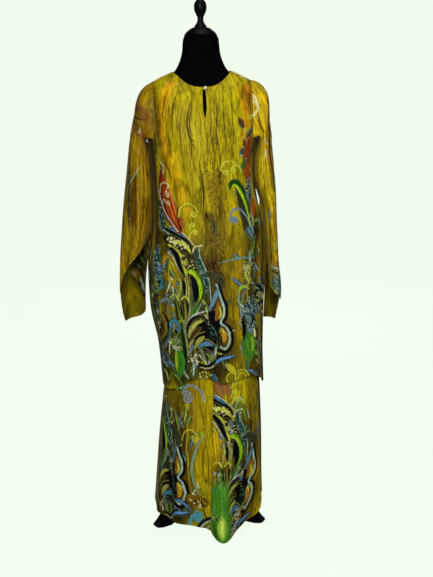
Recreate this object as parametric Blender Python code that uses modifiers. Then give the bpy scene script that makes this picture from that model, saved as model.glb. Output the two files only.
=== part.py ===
"""A baju kurung, the long Malay tunic and its pleated skirt, on a limbless dress form.

Metres, +Z up. The wearer faces -Y, so the garment's front faces -Y and "left" in a name is the
-X side. The origin is on the floor under the middle of the whole object. Each cut piece of cloth
is a wall lofted through rings that are worked out from the tables of sizes below.
"""
import math

import bpy
import bmesh
import numpy as np
from mathutils import Matrix, Vector

# ---------------------------------------------------------------- driving sizes
STAND_X = 0.010          # the pole's place, from the middle of the object's box
STAND_Y = 0.020
WALL = 0.0016            # cloth with its turned edges
GAP = 0.0003             # between pieces at a seam
BODY_RADIUS = 0.15       # round figures for turning a seam's gap into degrees
SLEEVE_RADIUS = 0.06
SQUARENESS = 2.3         # exponent of a body ring: 2 is an ellipse
ARMHOLE_X = 0.150        # half the width of the straight body panel at the shoulder
ARMPIT_ROW = 9           # the row of TUNIC_ROWS where the sleeve meets the side gore
HEM_ROW = 17
LIFTED_ROWS = 6          # the right shoulder sits a little higher than the left, down to this row
SHOULDER_LIFT = 0.004
NECK_ROUNDING = 0.8      # how much flatter the neckline is than a cosine squared, fading down
NECK_ROWS = 3

# Tunic rings from the neckline down: height at the side, at the middle front and middle back;
# the ring's reach to the left, right, front and back of the pole; the two side seams.
TUNIC_COLUMNS = ("side_z", "front_z", "back_z", "left", "right", "front", "back", "seam_l", "seam_r")
TUNIC_ROWS = (
    (1.4430, 1.392, 1.430, -0.0880, 0.0910, 0.078, 0.052, -0.150, 0.150),
    (1.4290, 1.371, 1.411, -0.1200, 0.1200, 0.089, 0.067, -0.150, 0.150),
    (1.4135, 1.350, 1.388, -0.1500, 0.1500, 0.099, 0.082, -0.150, 0.150),
    (1.4125, 1.345, 1.383, -0.1505, 0.1505, 0.101, 0.084, -0.150, 0.150),
    (1.4095, 1.338, 1.375, -0.1520, 0.1520, 0.103, 0.087, -0.150, 0.150),
    (1.4040, 1.328, 1.362, -0.1550, 0.1550, 0.106, 0.091, -0.150, 0.150),
    (1.3950, 1.313, 1.345, -0.1600, 0.1600, 0.110, 0.096, -0.150, 0.150),
    (1.3650, 1.285, 1.312, -0.1670, 0.1670, 0.116, 0.104, -0.150, 0.150),
    (1.3150, 1.255, 1.275, -0.1700, 0.1700, 0.121, 0.112, -0.150, 0.150),
    (1.2470, 1.225, 1.232, -0.1680, 0.1680, 0.126, 0.117, -0.150, 0.150),
    (1.1950, 1.180, 1.185, -0.1610, 0.1610, 0.128, 0.118, -0.149, 0.150),
    (1.1350, 1.128, 1.130, -0.1560, 0.1600, 0.129, 0.118, -0.146, 0.151),
    (1.0500, 1.048, 1.048, -0.1535, 0.1710, 0.131, 0.119, -0.141, 0.152),
    (0.9600, 0.960, 0.960, -0.1580, 0.1890, 0.135, 0.124, -0.136, 0.153),
    (0.8500, 0.850, 0.850, -0.1780, 0.1940, 0.141, 0.133, -0.130, 0.153),
    (0.7300, 0.730, 0.730, -0.1740, 0.1880, 0.147, 0.139, -0.125, 0.153),
    (0.6200, 0.620, 0.620, -0.1500, 0.1860, 0.152, 0.141, -0.120, 0.153),
    (0.4850, 0.500, 0.490, -0.1390, 0.1890, 0.157, 0.142, -0.116, 0.154),
)
# Height of the tunic's hem round the body: 0 is the front, 90 the +X side, 180 the back.
TUNIC_HEM = ((-180, 0.478), (-130, 0.472), (-90, 0.462), (-55, 0.468), (-40, 0.490), (-27, 0.512),
             (-8, 0.514), (4, 0.499), (20, 0.504), (42, 0.512), (55, 0.496), (70, 0.470),
             (90, 0.462), (130, 0.470), (180, 0.478))
# Lengthwise folds of the tunic: place round the body in degrees, half-width in degrees, depth
# outwards in metres, height where it starts and height where it is full.
TUNIC_FOLDS = (
    (-64, 7, 0.0050, 1.12, 0.62), (-47, 5, -0.0035, 1.02, 0.55), (-33, 6, 0.0060, 1.05, 0.55),
    (-16, 6, -0.0040, 1.00, 0.55), (8, 8, 0.0060, 1.05, 0.52), (33, 6, -0.0045, 1.10, 0.60),
    (51, 8, 0.0065, 1.15, 0.62), (73, 5, -0.0045, 1.00, 0.70), (104, 7, 0.0060, 1.05, 0.60),
    (128, 7, -0.0040, 1.00, 0.60), (150, 8, 0.0065, 1.10, 0.60), (176, 8, -0.0045, 1.15, 0.65),
    (-158, 8, 0.0060, 1.10, 0.60), (-134, 7, -0.0040, 1.00, 0.60), (-108, 8, 0.0055, 1.05, 0.60),
)
NECK_X = 0.002           # the keyhole's line
# Half the keyhole's width at each height, foot first, with its narrow mouth at the neckline.
KEYHOLE_HALF = ((1.2990, 0.0), (1.3050, 0.0016), (1.3120, 0.0034), (1.3250, 0.0051), (1.3420, 0.0060),
                (1.3620, 0.0058), (1.3800, 0.0048), (1.3840, 0.0038), (1.3865, 0.0011), (1.4080, 0.0011))
CUTTER_Y = -0.095        # the cutter's middle, in front of the pole, and half its length
CUTTER_HALF = 0.04
BUTTON_X = 0.005
BUTTON_ROW = 0.22        # how far down the rings of TUNIC_ROWS the button sits
BUTTON_REACH = 0.08      # the ring's depth there, in front of the pole
BUTTON_RADIUS = 0.0052
BUTTON_HALF_THICKNESS = 0.0030
LOOP_RADIUS = 0.0066
LOOP_WIRE = 0.0006

# Sleeve sections from the armhole to the cuff, as distances from the pole: the outer edge and
# the inner edge of the sleeve, then half its depth to the front and to the back.
SLEEVE_COLUMNS = ("outer_x", "outer_z", "inner_x", "inner_z", "front", "back")
SLEEVE_LEFT = (
    (0.1503, 1.4140, 0.1680, 1.2475, 0.066, 0.066), (0.1710, 1.4020, 0.1740, 1.2435, 0.067, 0.066),
    (0.1890, 1.3820, 0.1750, 1.2320, 0.068, 0.067), (0.2010, 1.3540, 0.1740, 1.2140, 0.068, 0.067),
    (0.2085, 1.3180, 0.1650, 1.1850, 0.067, 0.066), (0.2240, 1.2400, 0.1592, 1.1350, 0.063, 0.063),
    (0.2360, 1.1450, 0.1575, 1.0850, 0.060, 0.062), (0.2480, 1.0500, 0.1582, 1.0150, 0.060, 0.062),
    (0.2570, 0.9600, 0.1660, 0.9450, 0.060, 0.062), (0.2640, 0.8600, 0.1840, 0.8600, 0.060, 0.062),
    (0.2670, 0.7700, 0.1870, 0.7700, 0.060, 0.063), (0.2620, 0.6700, 0.1770, 0.6700, 0.060, 0.064),
)
SLEEVE_RIGHT = (
    (0.1503, 1.4140, 0.1680, 1.2475, 0.066, 0.066), (0.1755, 1.4070, 0.1740, 1.2435, 0.067, 0.066),
    (0.1950, 1.3900, 0.1750, 1.2320, 0.068, 0.067), (0.2055, 1.3620, 0.1745, 1.2140, 0.069, 0.068),
    (0.2085, 1.3200, 0.1655, 1.1850, 0.069, 0.068), (0.2145, 1.2400, 0.1628, 1.1350, 0.068, 0.068),
    (0.2235, 1.1450, 0.1695, 1.0850, 0.070, 0.070), (0.2300, 1.0500, 0.1850, 1.0300, 0.074, 0.074),
    (0.2330, 0.9600, 0.1950, 0.9500, 0.078, 0.078), (0.2370, 0.8600, 0.2000, 0.8600, 0.080, 0.080),
    (0.2450, 0.7700, 0.1965, 0.7700, 0.080, 0.080), (0.2360, 0.6700, 0.1930, 0.6700, 0.078, 0.078),
)
HANG_ROW = 7             # below this section the sleeve hangs free and its rows run to the cuff
# Height of the cuff's edge round the sleeve: 0 is outside, 90 front, 180 inside, 270 back.
CUFF_LEFT = ((0, 0.757), (30, 0.785), (60, 0.830), (90, 0.875), (120, 0.925), (150, 0.965),
             (180, 0.860), (205, 0.715), (235, 0.685), (270, 0.668), (315, 0.662), (340, 0.700),
             (360, 0.757))
CUFF_RIGHT = ((0, 0.735), (45, 0.730), (90, 0.760), (135, 0.850), (165, 0.840), (195, 0.740),
              (225, 0.685), (270, 0.652), (315, 0.660), (340, 0.700), (360, 0.735))
# Folds along the sleeve: place round it in degrees, half-width, depth, first and last section.
SLEEVE_FOLDS = (
    (60, 16, -0.0040, 3.0, 11.0), (95, 14, 0.0035, 4.0, 11.0), (130, 14, -0.0035, 5.0, 11.0),
    (20, 14, 0.0030, 5.0, 11.0), (238, 16, -0.0040, 3.0, 11.0), (275, 16, 0.0035, 4.0, 11.0),
    (315, 16, -0.0035, 4.0, 11.0),
)
GUSSET_ROW = 4.0         # how far down the sleeve the gusset reaches
GUSSET_ANGLE = 29        # half its width at the armhole, in degrees round the sleeve

# Skirt rings from the waist down, with the same columns of reach as the tunic.
SKIRT_COLUMNS = ("z", "left", "right", "front", "back")
SKIRT_ROWS = (
    (1.0280, -0.1330, 0.1330, 0.107, 0.097), (0.9500, -0.1480, 0.1500, 0.119, 0.110),
    (0.8500, -0.1620, 0.1660, 0.127, 0.121), (0.7300, -0.1590, 0.1680, 0.132, 0.127),
    (0.6200, -0.1400, 0.1690, 0.138, 0.128), (0.5000, -0.1300, 0.1740, 0.142, 0.129),
    (0.4230, -0.1390, 0.1780, 0.149, 0.133), (0.2900, -0.1530, 0.1820, 0.170, 0.145),
    (0.1500, -0.1630, 0.1830, 0.190, 0.156), (0.0400, -0.1720, 0.1850, 0.205, 0.165),
)
SKIRT_SQUARENESS = 2.1
SKIRT_HEM = ((-180, 0.058), (-150, 0.050), (-90, 0.047), (-60, 0.049), (-30, 0.048), (-8, 0.045),
             (-4, 0.038), (-1, 0.026), (3, 0.014), (7, 0.010), (12, 0.014), (20, 0.028), (30, 0.041),
             (44, 0.049), (52, 0.062), (60, 0.088), (75, 0.085), (90, 0.068), (120, 0.058),
             (180, 0.058))
SKIRT_FOLDS = (
    (-66, 8, 0.0070, 0.50, 0.10), (-50, 6, -0.0050, 0.46, 0.10), (-36, 7, 0.0060, 0.47, 0.10),
    (-20, 6, -0.0045, 0.46, 0.10), (36, 8, -0.0070, 0.46, 0.10), (54, 8, 0.0070, 0.50, 0.10),
    (74, 7, -0.0060, 0.46, 0.10), (105, 9, 0.0080, 0.48, 0.10), (130, 8, -0.0070, 0.46, 0.10),
    (155, 9, 0.0080, 0.50, 0.10), (180, 9, -0.0070, 0.46, 0.10), (-154, 9, 0.0080, 0.48, 0.10),
    (-128, 9, -0.0070, 0.46, 0.10), (-104, 9, 0.0070, 0.50, 0.10),
)
PLEAT_X = -0.012         # the pleat's outer fold edge
PLEAT_WIDTH = 0.034      # how far its underfold goes back
PLEAT_STEP = 0.0050      # from layer to layer
PLEAT_BULGE = 0.038      # how far the loose side stands out at the hem
BULGE_PLACE = 0.034      # from the pleat's edge to the middle of that bulge
BULGE_HALF_WIDTH = 0.036
BAND_HEIGHT = 0.036
BAND_WALL = 0.0024

# Dress form: height, half-width, depth to the front and to the back of the pole.
FORM_COLUMNS = ("z", "half", "front", "back")
FORM_ROWS = (
    (0.7200, 0.134, 0.094, 0.100), (0.7300, 0.141, 0.100, 0.106), (0.8000, 0.150, 0.106, 0.112),
    (0.8600, 0.152, 0.107, 0.112), (0.9500, 0.139, 0.099, 0.100), (1.0300, 0.123, 0.088, 0.087),
    (1.1000, 0.130, 0.100, 0.091), (1.1800, 0.142, 0.110, 0.099), (1.2500, 0.151, 0.112, 0.104),
    (1.3100, 0.160, 0.101, 0.094), (1.3500, 0.167, 0.092, 0.084), (1.3800, 0.166, 0.078, 0.070),
    (1.3970, 0.158, 0.069, 0.059), (1.4080, 0.144, 0.062, 0.052), (1.4210, 0.118, 0.058, 0.046),
    (1.4360, 0.091, 0.056, 0.043), (1.4480, 0.079, 0.056, 0.046), (1.4700, 0.067, 0.056, 0.052),
    (1.5000, 0.058, 0.056, 0.054), (1.5380, 0.054, 0.054, 0.054), (1.5447, 0.051, 0.051, 0.051),
)
FORM_SQUARENESS = 2.2
# Turned pieces: radius and height, bottom first.
CAP_PROFILE = ((0.0, 1.5450), (0.0500, 1.5450), (0.0510, 1.5480), (0.0460, 1.5560), (0.0370, 1.5640),
               (0.0280, 1.5700), (0.0, 1.5710))
FINIAL_PROFILE = ((0.0, 1.5713), (0.0190, 1.5713), (0.0190, 1.5760), (0.0130, 1.5830),
                  (0.0090, 1.5930), (0.0090, 1.6020), (0.0130, 1.6090), (0.0180, 1.6200),
                  (0.0195, 1.6320), (0.0180, 1.6420), (0.0130, 1.6500), (0.0100, 1.6550),
                  (0.0070, 1.6620), (0.0, 1.6680))
HUB_PROFILE = ((0.0, 0.1400), (0.0180, 0.1400), (0.0240, 0.1470), (0.0290, 0.1600),
               (0.0290, 0.1900), (0.0240, 0.2050), (0.0180, 0.2150), (0.0, 0.2150))
POLE_RADIUS = 0.0125
POLE_FOOT_Z = 0.2153
POLE_TOP_Z = 0.7197
# One leg's outline: distance from the pole and height, round the leg.
LEG_OUTLINE = ((0.0302, 0.203), (0.050, 0.194), (0.075, 0.174), (0.098, 0.146), (0.118, 0.112),
               (0.135, 0.078), (0.152, 0.054), (0.172, 0.038), (0.192, 0.027), (0.2065, 0.016),
               (0.204, 0.010), (0.192, 0.004), (0.176, 0.0), (0.146, 0.0), (0.126, 0.012),
               (0.106, 0.036), (0.086, 0.066), (0.064, 0.096), (0.045, 0.120), (0.0302, 0.146))
LEG_THICKNESS = 0.022
LEG_ANGLES = {"leg_front_left": -60, "leg_front_right": 60, "leg_back": 180}

# ---------------------------------------------------------------- finishes
FINISHES = {
    "printed_satin": ((0.150, 0.115, 0.006), 0.42, 0.0),
    "band_cloth": ((0.110, 0.095, 0.020), 0.60, 0.0),
    "form_jersey": ((0.004, 0.004, 0.005), 0.80, 0.0),
    "black_wood": ((0.003, 0.003, 0.003), 0.30, 0.0),
    "jewel": ((0.600, 0.560, 0.450), 0.15, 0.6),
    "thread": ((0.200, 0.150, 0.020), 0.60, 0.0),
}


def finish(name):
    """The Principled material of one finish."""
    if name in bpy.data.materials:
        return bpy.data.materials[name]
    colour, roughness, metallic = FINISHES[name]
    material = bpy.data.materials.new(name)
    material.use_nodes = True
    shader = material.node_tree.nodes["Principled BSDF"]
    shader.inputs["Base Color"].default_value = (*colour, 1.0)
    shader.inputs["Roughness"].default_value = roughness
    shader.inputs["Metallic"].default_value = metallic
    return material


# ---------------------------------------------------------------- tables and rings
def column(rows, columns, name):
    """One named column of a table as an array."""
    return np.array([row[columns.index(name)] for row in rows])


def smooth_curve(at, knots, values):
    """Cubic Hermite through the knots, with slopes limited so that it never overshoots."""
    knots = np.asarray(knots, float)
    values = np.asarray(values, float)
    step = np.diff(knots)
    rise = np.diff(values) / step
    slope = np.zeros_like(values)
    same_way = rise[:-1] * rise[1:] > 0
    harmonic = 2 * rise[:-1] * rise[1:] / np.where(same_way, rise[:-1] + rise[1:], 1)
    slope[1:-1] = np.where(same_way, harmonic, 0)
    slope[0], slope[-1] = rise[0], rise[-1]
    at = np.clip(at, knots[0], knots[-1])
    i = np.clip(np.searchsorted(knots, at, side="right") - 1, 0, len(step) - 1)
    h = step[i]
    t = (at - knots[i]) / h
    return (values[i] * (1 + 2 * t) * (1 - t) ** 2 + slope[i] * h * t * (1 - t) ** 2
            + values[i + 1] * t * t * (3 - 2 * t) - slope[i + 1] * h * t * t * (1 - t))


def by_angle(table, degrees):
    """A value given round a ring, at the angles asked for."""
    angles, values = zip(*table)
    return smooth_curve(degrees, angles, values)


def ease(x):
    """0 to 1 with level ends."""
    x = np.clip(x, 0, 1)
    return x * x * (3 - 2 * x)


def angle_between(a, b):
    """The signed turn from b to a, within half a turn."""
    return (a - b + 180) % 360 - 180


def ring_radius(s, c, half, depth, power):
    """Polar radius of a rounded ring: half wide at the sides, depth deep where c is 1."""
    return ((np.abs(s) / half) ** power + (np.abs(c) / depth) ** power) ** (-1 / power)


def folds_out(table, degrees, z):
    """How far the lengthwise folds stand out at this place and height."""
    out = np.zeros(np.broadcast(degrees, z).shape)
    for place, width, depth, start_z, full_z in table:
        out += (depth * ease((start_z - z) / (start_z - full_z))
                * np.exp(-(angle_between(degrees, place) / width) ** 2))
    return out


# ---------------------------------------------------------------- tunic
def tunic(degrees, row):
    """The tunic's outer face: degrees round the body from the middle front, row down it."""
    get = {name: smooth_curve(row, np.arange(len(TUNIC_ROWS)), column(TUNIC_ROWS, TUNIC_COLUMNS, name))
           for name in TUNIC_COLUMNS[:7]}
    s = np.sin(np.radians(degrees))
    c = np.cos(np.radians(degrees))
    half = (get["right"] - get["left"]) / 2
    middle = (get["right"] + get["left"]) / 2
    depth = np.where(c >= 0, get["front"], get["back"])
    end_z = np.where(c >= 0, get["front_z"], get["back_z"])
    flat = 1 + NECK_ROUNDING * s * s * c * c * (1 - ease(row / NECK_ROWS))
    z = get["side_z"] + (end_z - get["side_z"]) * c * c * flat
    free = np.clip(row - (HEM_ROW - 2), 0, 2) / 2
    from_z = TUNIC_ROWS[HEM_ROW - 2][0]
    z = np.where(free > 0, from_z + (by_angle(TUNIC_HEM, degrees) - from_z) * free, z)
    radius = ring_radius(s, c, half, depth, SQUARENESS) + folds_out(TUNIC_FOLDS, degrees, z)
    x = middle + radius * s
    z = z + SHOULDER_LIFT * np.clip(x / ARMHOLE_X, 0, 1) * (1 - ease((row - 2) / (LIFTED_ROWS - 2)))
    return np.stack([x, -radius * c, z], axis=-1)


def seam_angle(row, side):
    """Degrees from the middle front to the front panel's edge on one side, and to the back's."""
    name = "seam_r" if side > 0 else "seam_l"
    reach = abs(float(smooth_curve(row, np.arange(len(TUNIC_ROWS)),
                                   column(TUNIC_ROWS, TUNIC_COLUMNS, name))))
    found = []
    for start, end in ((0.0, 90.0), (180.0, 90.0)):
        angles = np.linspace(start, end, 181)
        out = np.abs(tunic(side * angles, np.full(181, float(row)))[:, 0])
        out = np.maximum.accumulate(out)
        found.append(float(np.interp(reach, out, angles)) if out[-1] > reach else 90.0)
    return found


def gap_degrees(gap, radius=BODY_RADIUS):
    """The turn that a gap along a ring makes."""
    return math.degrees(gap / radius)


# ---------------------------------------------------------------- walls
def normals_of(surface, u, v, step_u, step_v):
    """Unit normals of a surface function, from differences on both sides of each point."""
    along_u = surface(u + step_u, v) - surface(u - step_u, v)
    along_v = surface(u, v + step_v) - surface(u, v - step_v)
    normal = np.cross(along_u, along_v)
    return normal / np.linalg.norm(normal, axis=-1, keepdims=True)


def wall(name, outer, outward, finish_name, thickness=WALL, joined_from=None):
    """A closed wall of cloth: the outer grid, the same grid moved in, and the four edges.

    With joined_from, the first and last columns are one and the same from that row down.
    """
    rows, columns = outer.shape[:2]
    bm = bmesh.new()
    skins = []
    for points in (outer, outer - thickness * outward):
        skin = [[bm.verts.new(points[j, i]) for i in range(columns)] for j in range(rows)]
        if joined_from is not None:
            for j in range(joined_from, rows):
                bm.verts.remove(skin[j][-1])
                skin[j][-1] = skin[j][0]
        skins.append(skin)
    top, under = skins
    for j in range(rows - 1):
        for i in range(columns - 1):
            bm.faces.new((top[j][i], top[j + 1][i], top[j + 1][i + 1], top[j][i + 1]))
            bm.faces.new((under[j][i], under[j][i + 1], under[j + 1][i + 1], under[j + 1][i]))
    for j, turn in ((0, False), (rows - 1, True)):
        for i in range(columns - 1):
            edge = (top[j][i], top[j][i + 1], under[j][i + 1], under[j][i])
            bm.faces.new(edge[::-1] if turn else edge)
    open_rows = rows - 1 if joined_from is None else joined_from
    for i, turn in ((0, True), (columns - 1, False)):
        for j in range(open_rows):
            edge = (top[j][i], top[j + 1][i], under[j + 1][i], under[j][i])
            bm.faces.new(edge[::-1] if turn else edge)
    return add_mesh(name, bm, finish_name)


def add_mesh(name, bm, finish_name, place=True):
    """A finished bmesh as an object of the garment's collection, moved to the stand's place."""
    if place:
        bmesh.ops.translate(bm, verts=bm.verts, vec=(STAND_X, STAND_Y, 0))
    bmesh.ops.recalc_face_normals(bm, faces=bm.faces)
    mesh = bpy.data.meshes.new(name)
    bm.to_mesh(mesh)
    bm.free()
    mesh.shade_smooth()
    mesh.set_sharp_from_angle(angle=math.radians(40))
    mesh.materials.append(finish(finish_name))
    piece = bpy.data.objects.new(name, mesh)
    PARTS.objects.link(piece)
    return piece


def panel(name, surface, edges, rows, columns, finish_name="printed_satin", step=(3.0, 0.2)):
    """A wall between two edges: edges(row) gives the angles where the panel starts and ends."""
    spans = np.array([edges(row) for row in rows])
    share = np.linspace(0, 1, columns + 1)
    u = spans[:, :1] + (spans[:, 1:] - spans[:, :1]) * share
    v = np.repeat(np.asarray(rows, float)[:, None], columns + 1, axis=1)
    outward = -normals_of(surface, u, v, *step)
    return wall(name, surface(u, v), outward, finish_name)


# ---------------------------------------------------------------- collections
for old in list(bpy.data.objects):
    bpy.data.objects.remove(old)
PARTS = bpy.data.collections.new("baju_kurung")
CUTTERS = bpy.data.collections.new("cutters")
bpy.context.scene.collection.children.link(PARTS)
bpy.context.scene.collection.children.link(CUTTERS)


# ---------------------------------------------------------------- tunic pieces
BODY_ROWS = np.array([0, 1, 1.9, 4, 5, 6, 6.7, 7.5, 8.3, 9, 10, 11, 12, 12.8, 13.5, 14.2, 14.9, 15.6,
                      16.3, 17])
GORE_ROWS = BODY_ROWS[BODY_ROWS >= ARMPIT_ROW]
TURN = gap_degrees(GAP / 2)


def front_edges(row):
    """The angles where the front panel starts and ends, short of its seams by half a gap."""
    return -seam_angle(row, -1)[0] + TURN, seam_angle(row, 1)[0] - TURN


def back_edges(row):
    """The same for the back panel, counted on round the right side."""
    return seam_angle(row, 1)[1] + TURN, 360 - seam_angle(row, -1)[1] - TURN


def gore_edges(side):
    """The gore's two seams, on the +X side for 1 and on the -X side for -1."""
    def edges(row):
        front, back = seam_angle(row, side)
        found = (front + TURN, back - TURN)
        return found if side > 0 else (-found[1], -found[0])
    return edges


def gore_surface(degrees, row):
    """The tunic's face, with the gore's top edge a gap below the sleeve."""
    points = tunic(degrees, row)
    points[..., 2] -= 3 * GAP * (row <= ARMPIT_ROW)
    return points


def make_tunic():
    """Front and back panels, the side gores, and the keyhole cut into the front."""
    front = panel("tunic_front", tunic, front_edges, BODY_ROWS, 14)
    panel("tunic_back", tunic, back_edges, BODY_ROWS, 12)
    panel("gore_left", gore_surface, gore_edges(-1), GORE_ROWS, 5)
    panel("gore_right", gore_surface, gore_edges(1), GORE_ROWS, 5)
    cut = front.modifiers.new("keyhole", "BOOLEAN")
    cut.operation = "DIFFERENCE"
    cut.solver = "EXACT"
    cut.object = keyhole_cutter()


def flat_outline(name, points, half_thickness):
    """A closed flat outline as a mesh of the given thickness, its caps welded."""
    curve = bpy.data.curves.new(name, "CURVE")
    curve.dimensions = "2D"
    curve.fill_mode = "BOTH"
    curve.extrude = half_thickness
    line = curve.splines.new("POLY")
    line.points.add(len(points) - 1)
    for spot, (x, y) in zip(line.points, points):
        spot.co = (x, y, 0, 1)
    line.use_cyclic_u = True
    holder = bpy.data.objects.new(name, curve)
    bpy.context.scene.collection.objects.link(holder)
    evaluated = holder.evaluated_get(bpy.context.evaluated_depsgraph_get())
    mesh = bpy.data.meshes.new_from_object(evaluated)
    bpy.data.objects.remove(holder)
    bm = bmesh.new()
    bm.from_mesh(mesh)
    bmesh.ops.remove_doubles(bm, verts=bm.verts, dist=0.00001)
    bmesh.ops.recalc_face_normals(bm, faces=bm.faces)
    bm.to_mesh(mesh)
    bm.free()
    return mesh


def keyhole_cutter():
    """A leaf-shaped slot through the middle front, its mouth open through the neckline."""
    outline = [(half, z) for z, half in KEYHOLE_HALF]
    outline += [(-half, z) for z, half in KEYHOLE_HALF[:0:-1]]
    mesh = flat_outline("keyhole_cutter", outline, CUTTER_HALF)
    cutter = bpy.data.objects.new("keyhole_cutter", mesh)
    cutter.rotation_euler = (math.radians(90), 0, 0)
    cutter.location = (STAND_X + NECK_X, STAND_Y + CUTTER_Y, 0)
    cutter.hide_render = True
    cutter.display_type = "WIRE"
    CUTTERS.objects.link(cutter)
    return cutter


# ---------------------------------------------------------------- sleeves and gussets
def armhole(side):
    """The closed line of the armhole, from its top round the front and the gore to the back."""
    x = side * (ARMHOLE_X + GAP)
    halves = []
    for which in (0, 1):
        rows = np.linspace(2, ARMPIT_ROW, 43)
        angles = np.array([side * seam_angle(row, side)[which] for row in rows])
        edge = tunic(angles, rows)
        edge[:, 0] = x
        under = tunic(np.linspace(angles[-1], side * 90, 9), np.full(9, float(ARMPIT_ROW)))
        under[0, 0] = x
        line = np.vstack([edge[:-1], under])
        length = np.concatenate([[0], np.cumsum(np.linalg.norm(np.diff(line, axis=0), axis=1))])
        halves.append((line, 180 * length / length[-1]))
    (front, at_front), (back, at_back) = halves
    return np.vstack([front, back[-2::-1]]), np.concatenate([at_front, 360 - at_back[-2::-1]])


def sleeve_surface(side):
    """The sleeve as a function: degrees round it from its outer line, section down it."""
    table, cuff = (SLEEVE_RIGHT, CUFF_RIGHT) if side > 0 else (SLEEVE_LEFT, CUFF_LEFT)
    sections = np.arange(len(table))
    last = len(table) - 1
    hole, hole_at = armhole(side)
    drop_per_section = (table[HANG_ROW][1] - table[last][1]) / (last - HANG_ROW)

    def oval(degrees, t):
        get = {name: smooth_curve(t, sections, column(table, SLEEVE_COLUMNS, name))
               for name in SLEEVE_COLUMNS}
        c = np.cos(np.radians(degrees))
        s = np.sin(np.radians(degrees))
        reach_x = (get["outer_x"] - get["inner_x"]) / 2
        reach_z = (get["outer_z"] - get["inner_z"]) / 2
        half = np.hypot(reach_x, reach_z)
        depth = np.where(s >= 0, get["front"], get["back"])
        radius = ring_radius(c, s, half, depth, SQUARENESS)
        for place, width, out, start, full in SLEEVE_FOLDS:
            near = np.exp(-(angle_between(degrees, place) / width) ** 2)
            radius = radius + out * near * ease((t - start) / (full - start))
        x = get["inner_x"] + reach_x + radius * c * reach_x / half
        z = get["inner_z"] + reach_z + radius * c * reach_z / half
        return np.stack([side * x, -radius * s, z], axis=-1)

    def surface(degrees, t):
        free = np.clip(t - HANG_ROW, 0, None) / (last - HANG_ROW)
        start_z = oval(degrees, np.minimum(t, HANG_ROW))[..., 2]
        z = start_z + (by_angle(cuff, degrees % 360) - start_z) * free
        points = oval(degrees, np.where(free > 0, HANG_ROW + (start_z - z) / drop_per_section, t))
        points[..., 2] = z
        at_hole = np.stack([np.interp(degrees % 360, hole_at, hole[:, k]) for k in range(3)], axis=-1)
        fade = 1 - ease(t / 3.0)
        return points + fade[..., None] * (at_hole - oval(degrees, np.zeros_like(t)))

    return surface


SLEEVE_ROWS = np.array([0, 0.5, 1, 1.6, 2.3, 3.1, 4, 5, 6, 7, 7.8, 8.6, 9.4, 10.2, 11])


def gusset_half(t):
    """Half the angle that the gusset takes out of the sleeve at a section."""
    return GUSSET_ANGLE * np.clip(1 - t / GUSSET_ROW, 0, 1)


def make_sleeve(side, columns=20):
    """A sleeve, notched underneath for its gusset and closed by one seam below that."""
    end = "right" if side > 0 else "left"
    surface = sleeve_surface(side)
    notch = gusset_half(SLEEVE_ROWS)[:, None]
    turn = gap_degrees(GAP, SLEEVE_RADIUS) * (notch > 0)
    share = np.linspace(0, 1, columns + 1)[None, :]
    u = 180 + notch + turn + share * (360 - 2 * (notch + turn))
    v = np.repeat(SLEEVE_ROWS[:, None], columns + 1, axis=1)
    outward = side * normals_of(surface, u, v, 10.0, 0.1)
    closed_from = int(np.argmax(notch[:, 0] <= 0))
    wall("sleeve_" + end, surface(u, v), outward, "printed_satin", joined_from=closed_from)
    rows = SLEEVE_ROWS[SLEEVE_ROWS < GUSSET_ROW * 0.9]
    reach = gusset_half(rows)[:, None] - gap_degrees(GAP, SLEEVE_RADIUS)
    u = 180 + reach * np.linspace(-1, 1, 5)[None, :]
    v = np.repeat(rows[:, None], 5, axis=1)
    outward = side * normals_of(surface, u, v, 10.0, 0.1)
    wall("gusset_" + end, surface(u, v), outward, "printed_satin")


# ---------------------------------------------------------------- neck button
def make_button():
    """The jewelled button on the keyhole's right edge, and the thread loop round its foot."""
    row = np.array([BUTTON_ROW])
    angle = np.degrees(np.arcsin(BUTTON_X / BUTTON_REACH)) * np.ones(1)
    spot = tunic(angle, row)[0]
    normal = -normals_of(tunic, angle, row, 1.0, 0.05)[0]
    turn = Vector(normal).to_track_quat("Z", "Y").to_matrix().to_4x4()
    placed = Vector(spot) + Vector((STAND_X, STAND_Y, 0))
    bm = bmesh.new()
    bmesh.ops.create_uvsphere(bm, u_segments=16, v_segments=10, radius=1.0)
    size = Matrix.Diagonal((BUTTON_RADIUS, BUTTON_RADIUS, BUTTON_HALF_THICKNESS, 1))
    bmesh.ops.transform(bm, matrix=size, verts=bm.verts)
    button = add_mesh("neck_button", bm, "jewel", place=False)
    button.matrix_world = Matrix.Translation(
        placed + Vector(normal) * (BUTTON_HALF_THICKNESS + 2 * GAP)) @ turn
    bpy.ops.mesh.primitive_torus_add(major_segments=20, minor_segments=6, major_radius=LOOP_RADIUS,
                                     minor_radius=LOOP_WIRE)
    loop = adopt(bpy.context.object, "button_loop", "thread")
    loop.matrix_world = Matrix.Translation(placed + Vector(normal) * (LOOP_WIRE + 3 * GAP)) @ turn


def adopt(piece, name, finish_name):
    """Name a new primitive, give it its finish, and move it to the garment's collection."""
    piece.name = name
    piece.data.name = name
    piece.data.materials.append(finish(finish_name))
    for holder in list(piece.users_collection):
        holder.objects.unlink(piece)
    PARTS.objects.link(piece)
    return piece


# ---------------------------------------------------------------- skirt
SKIRT_HEIGHTS = np.array([1.028, 0.97, 0.90, 0.82, 0.73, 0.64, 0.55, 0.47, 0.39, 0.31, 0.23, 0.18,
                          0.14, 0.09, 0.04])
SKIRT_FREE_Z = 0.14      # below this height the rows run to the hem


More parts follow.
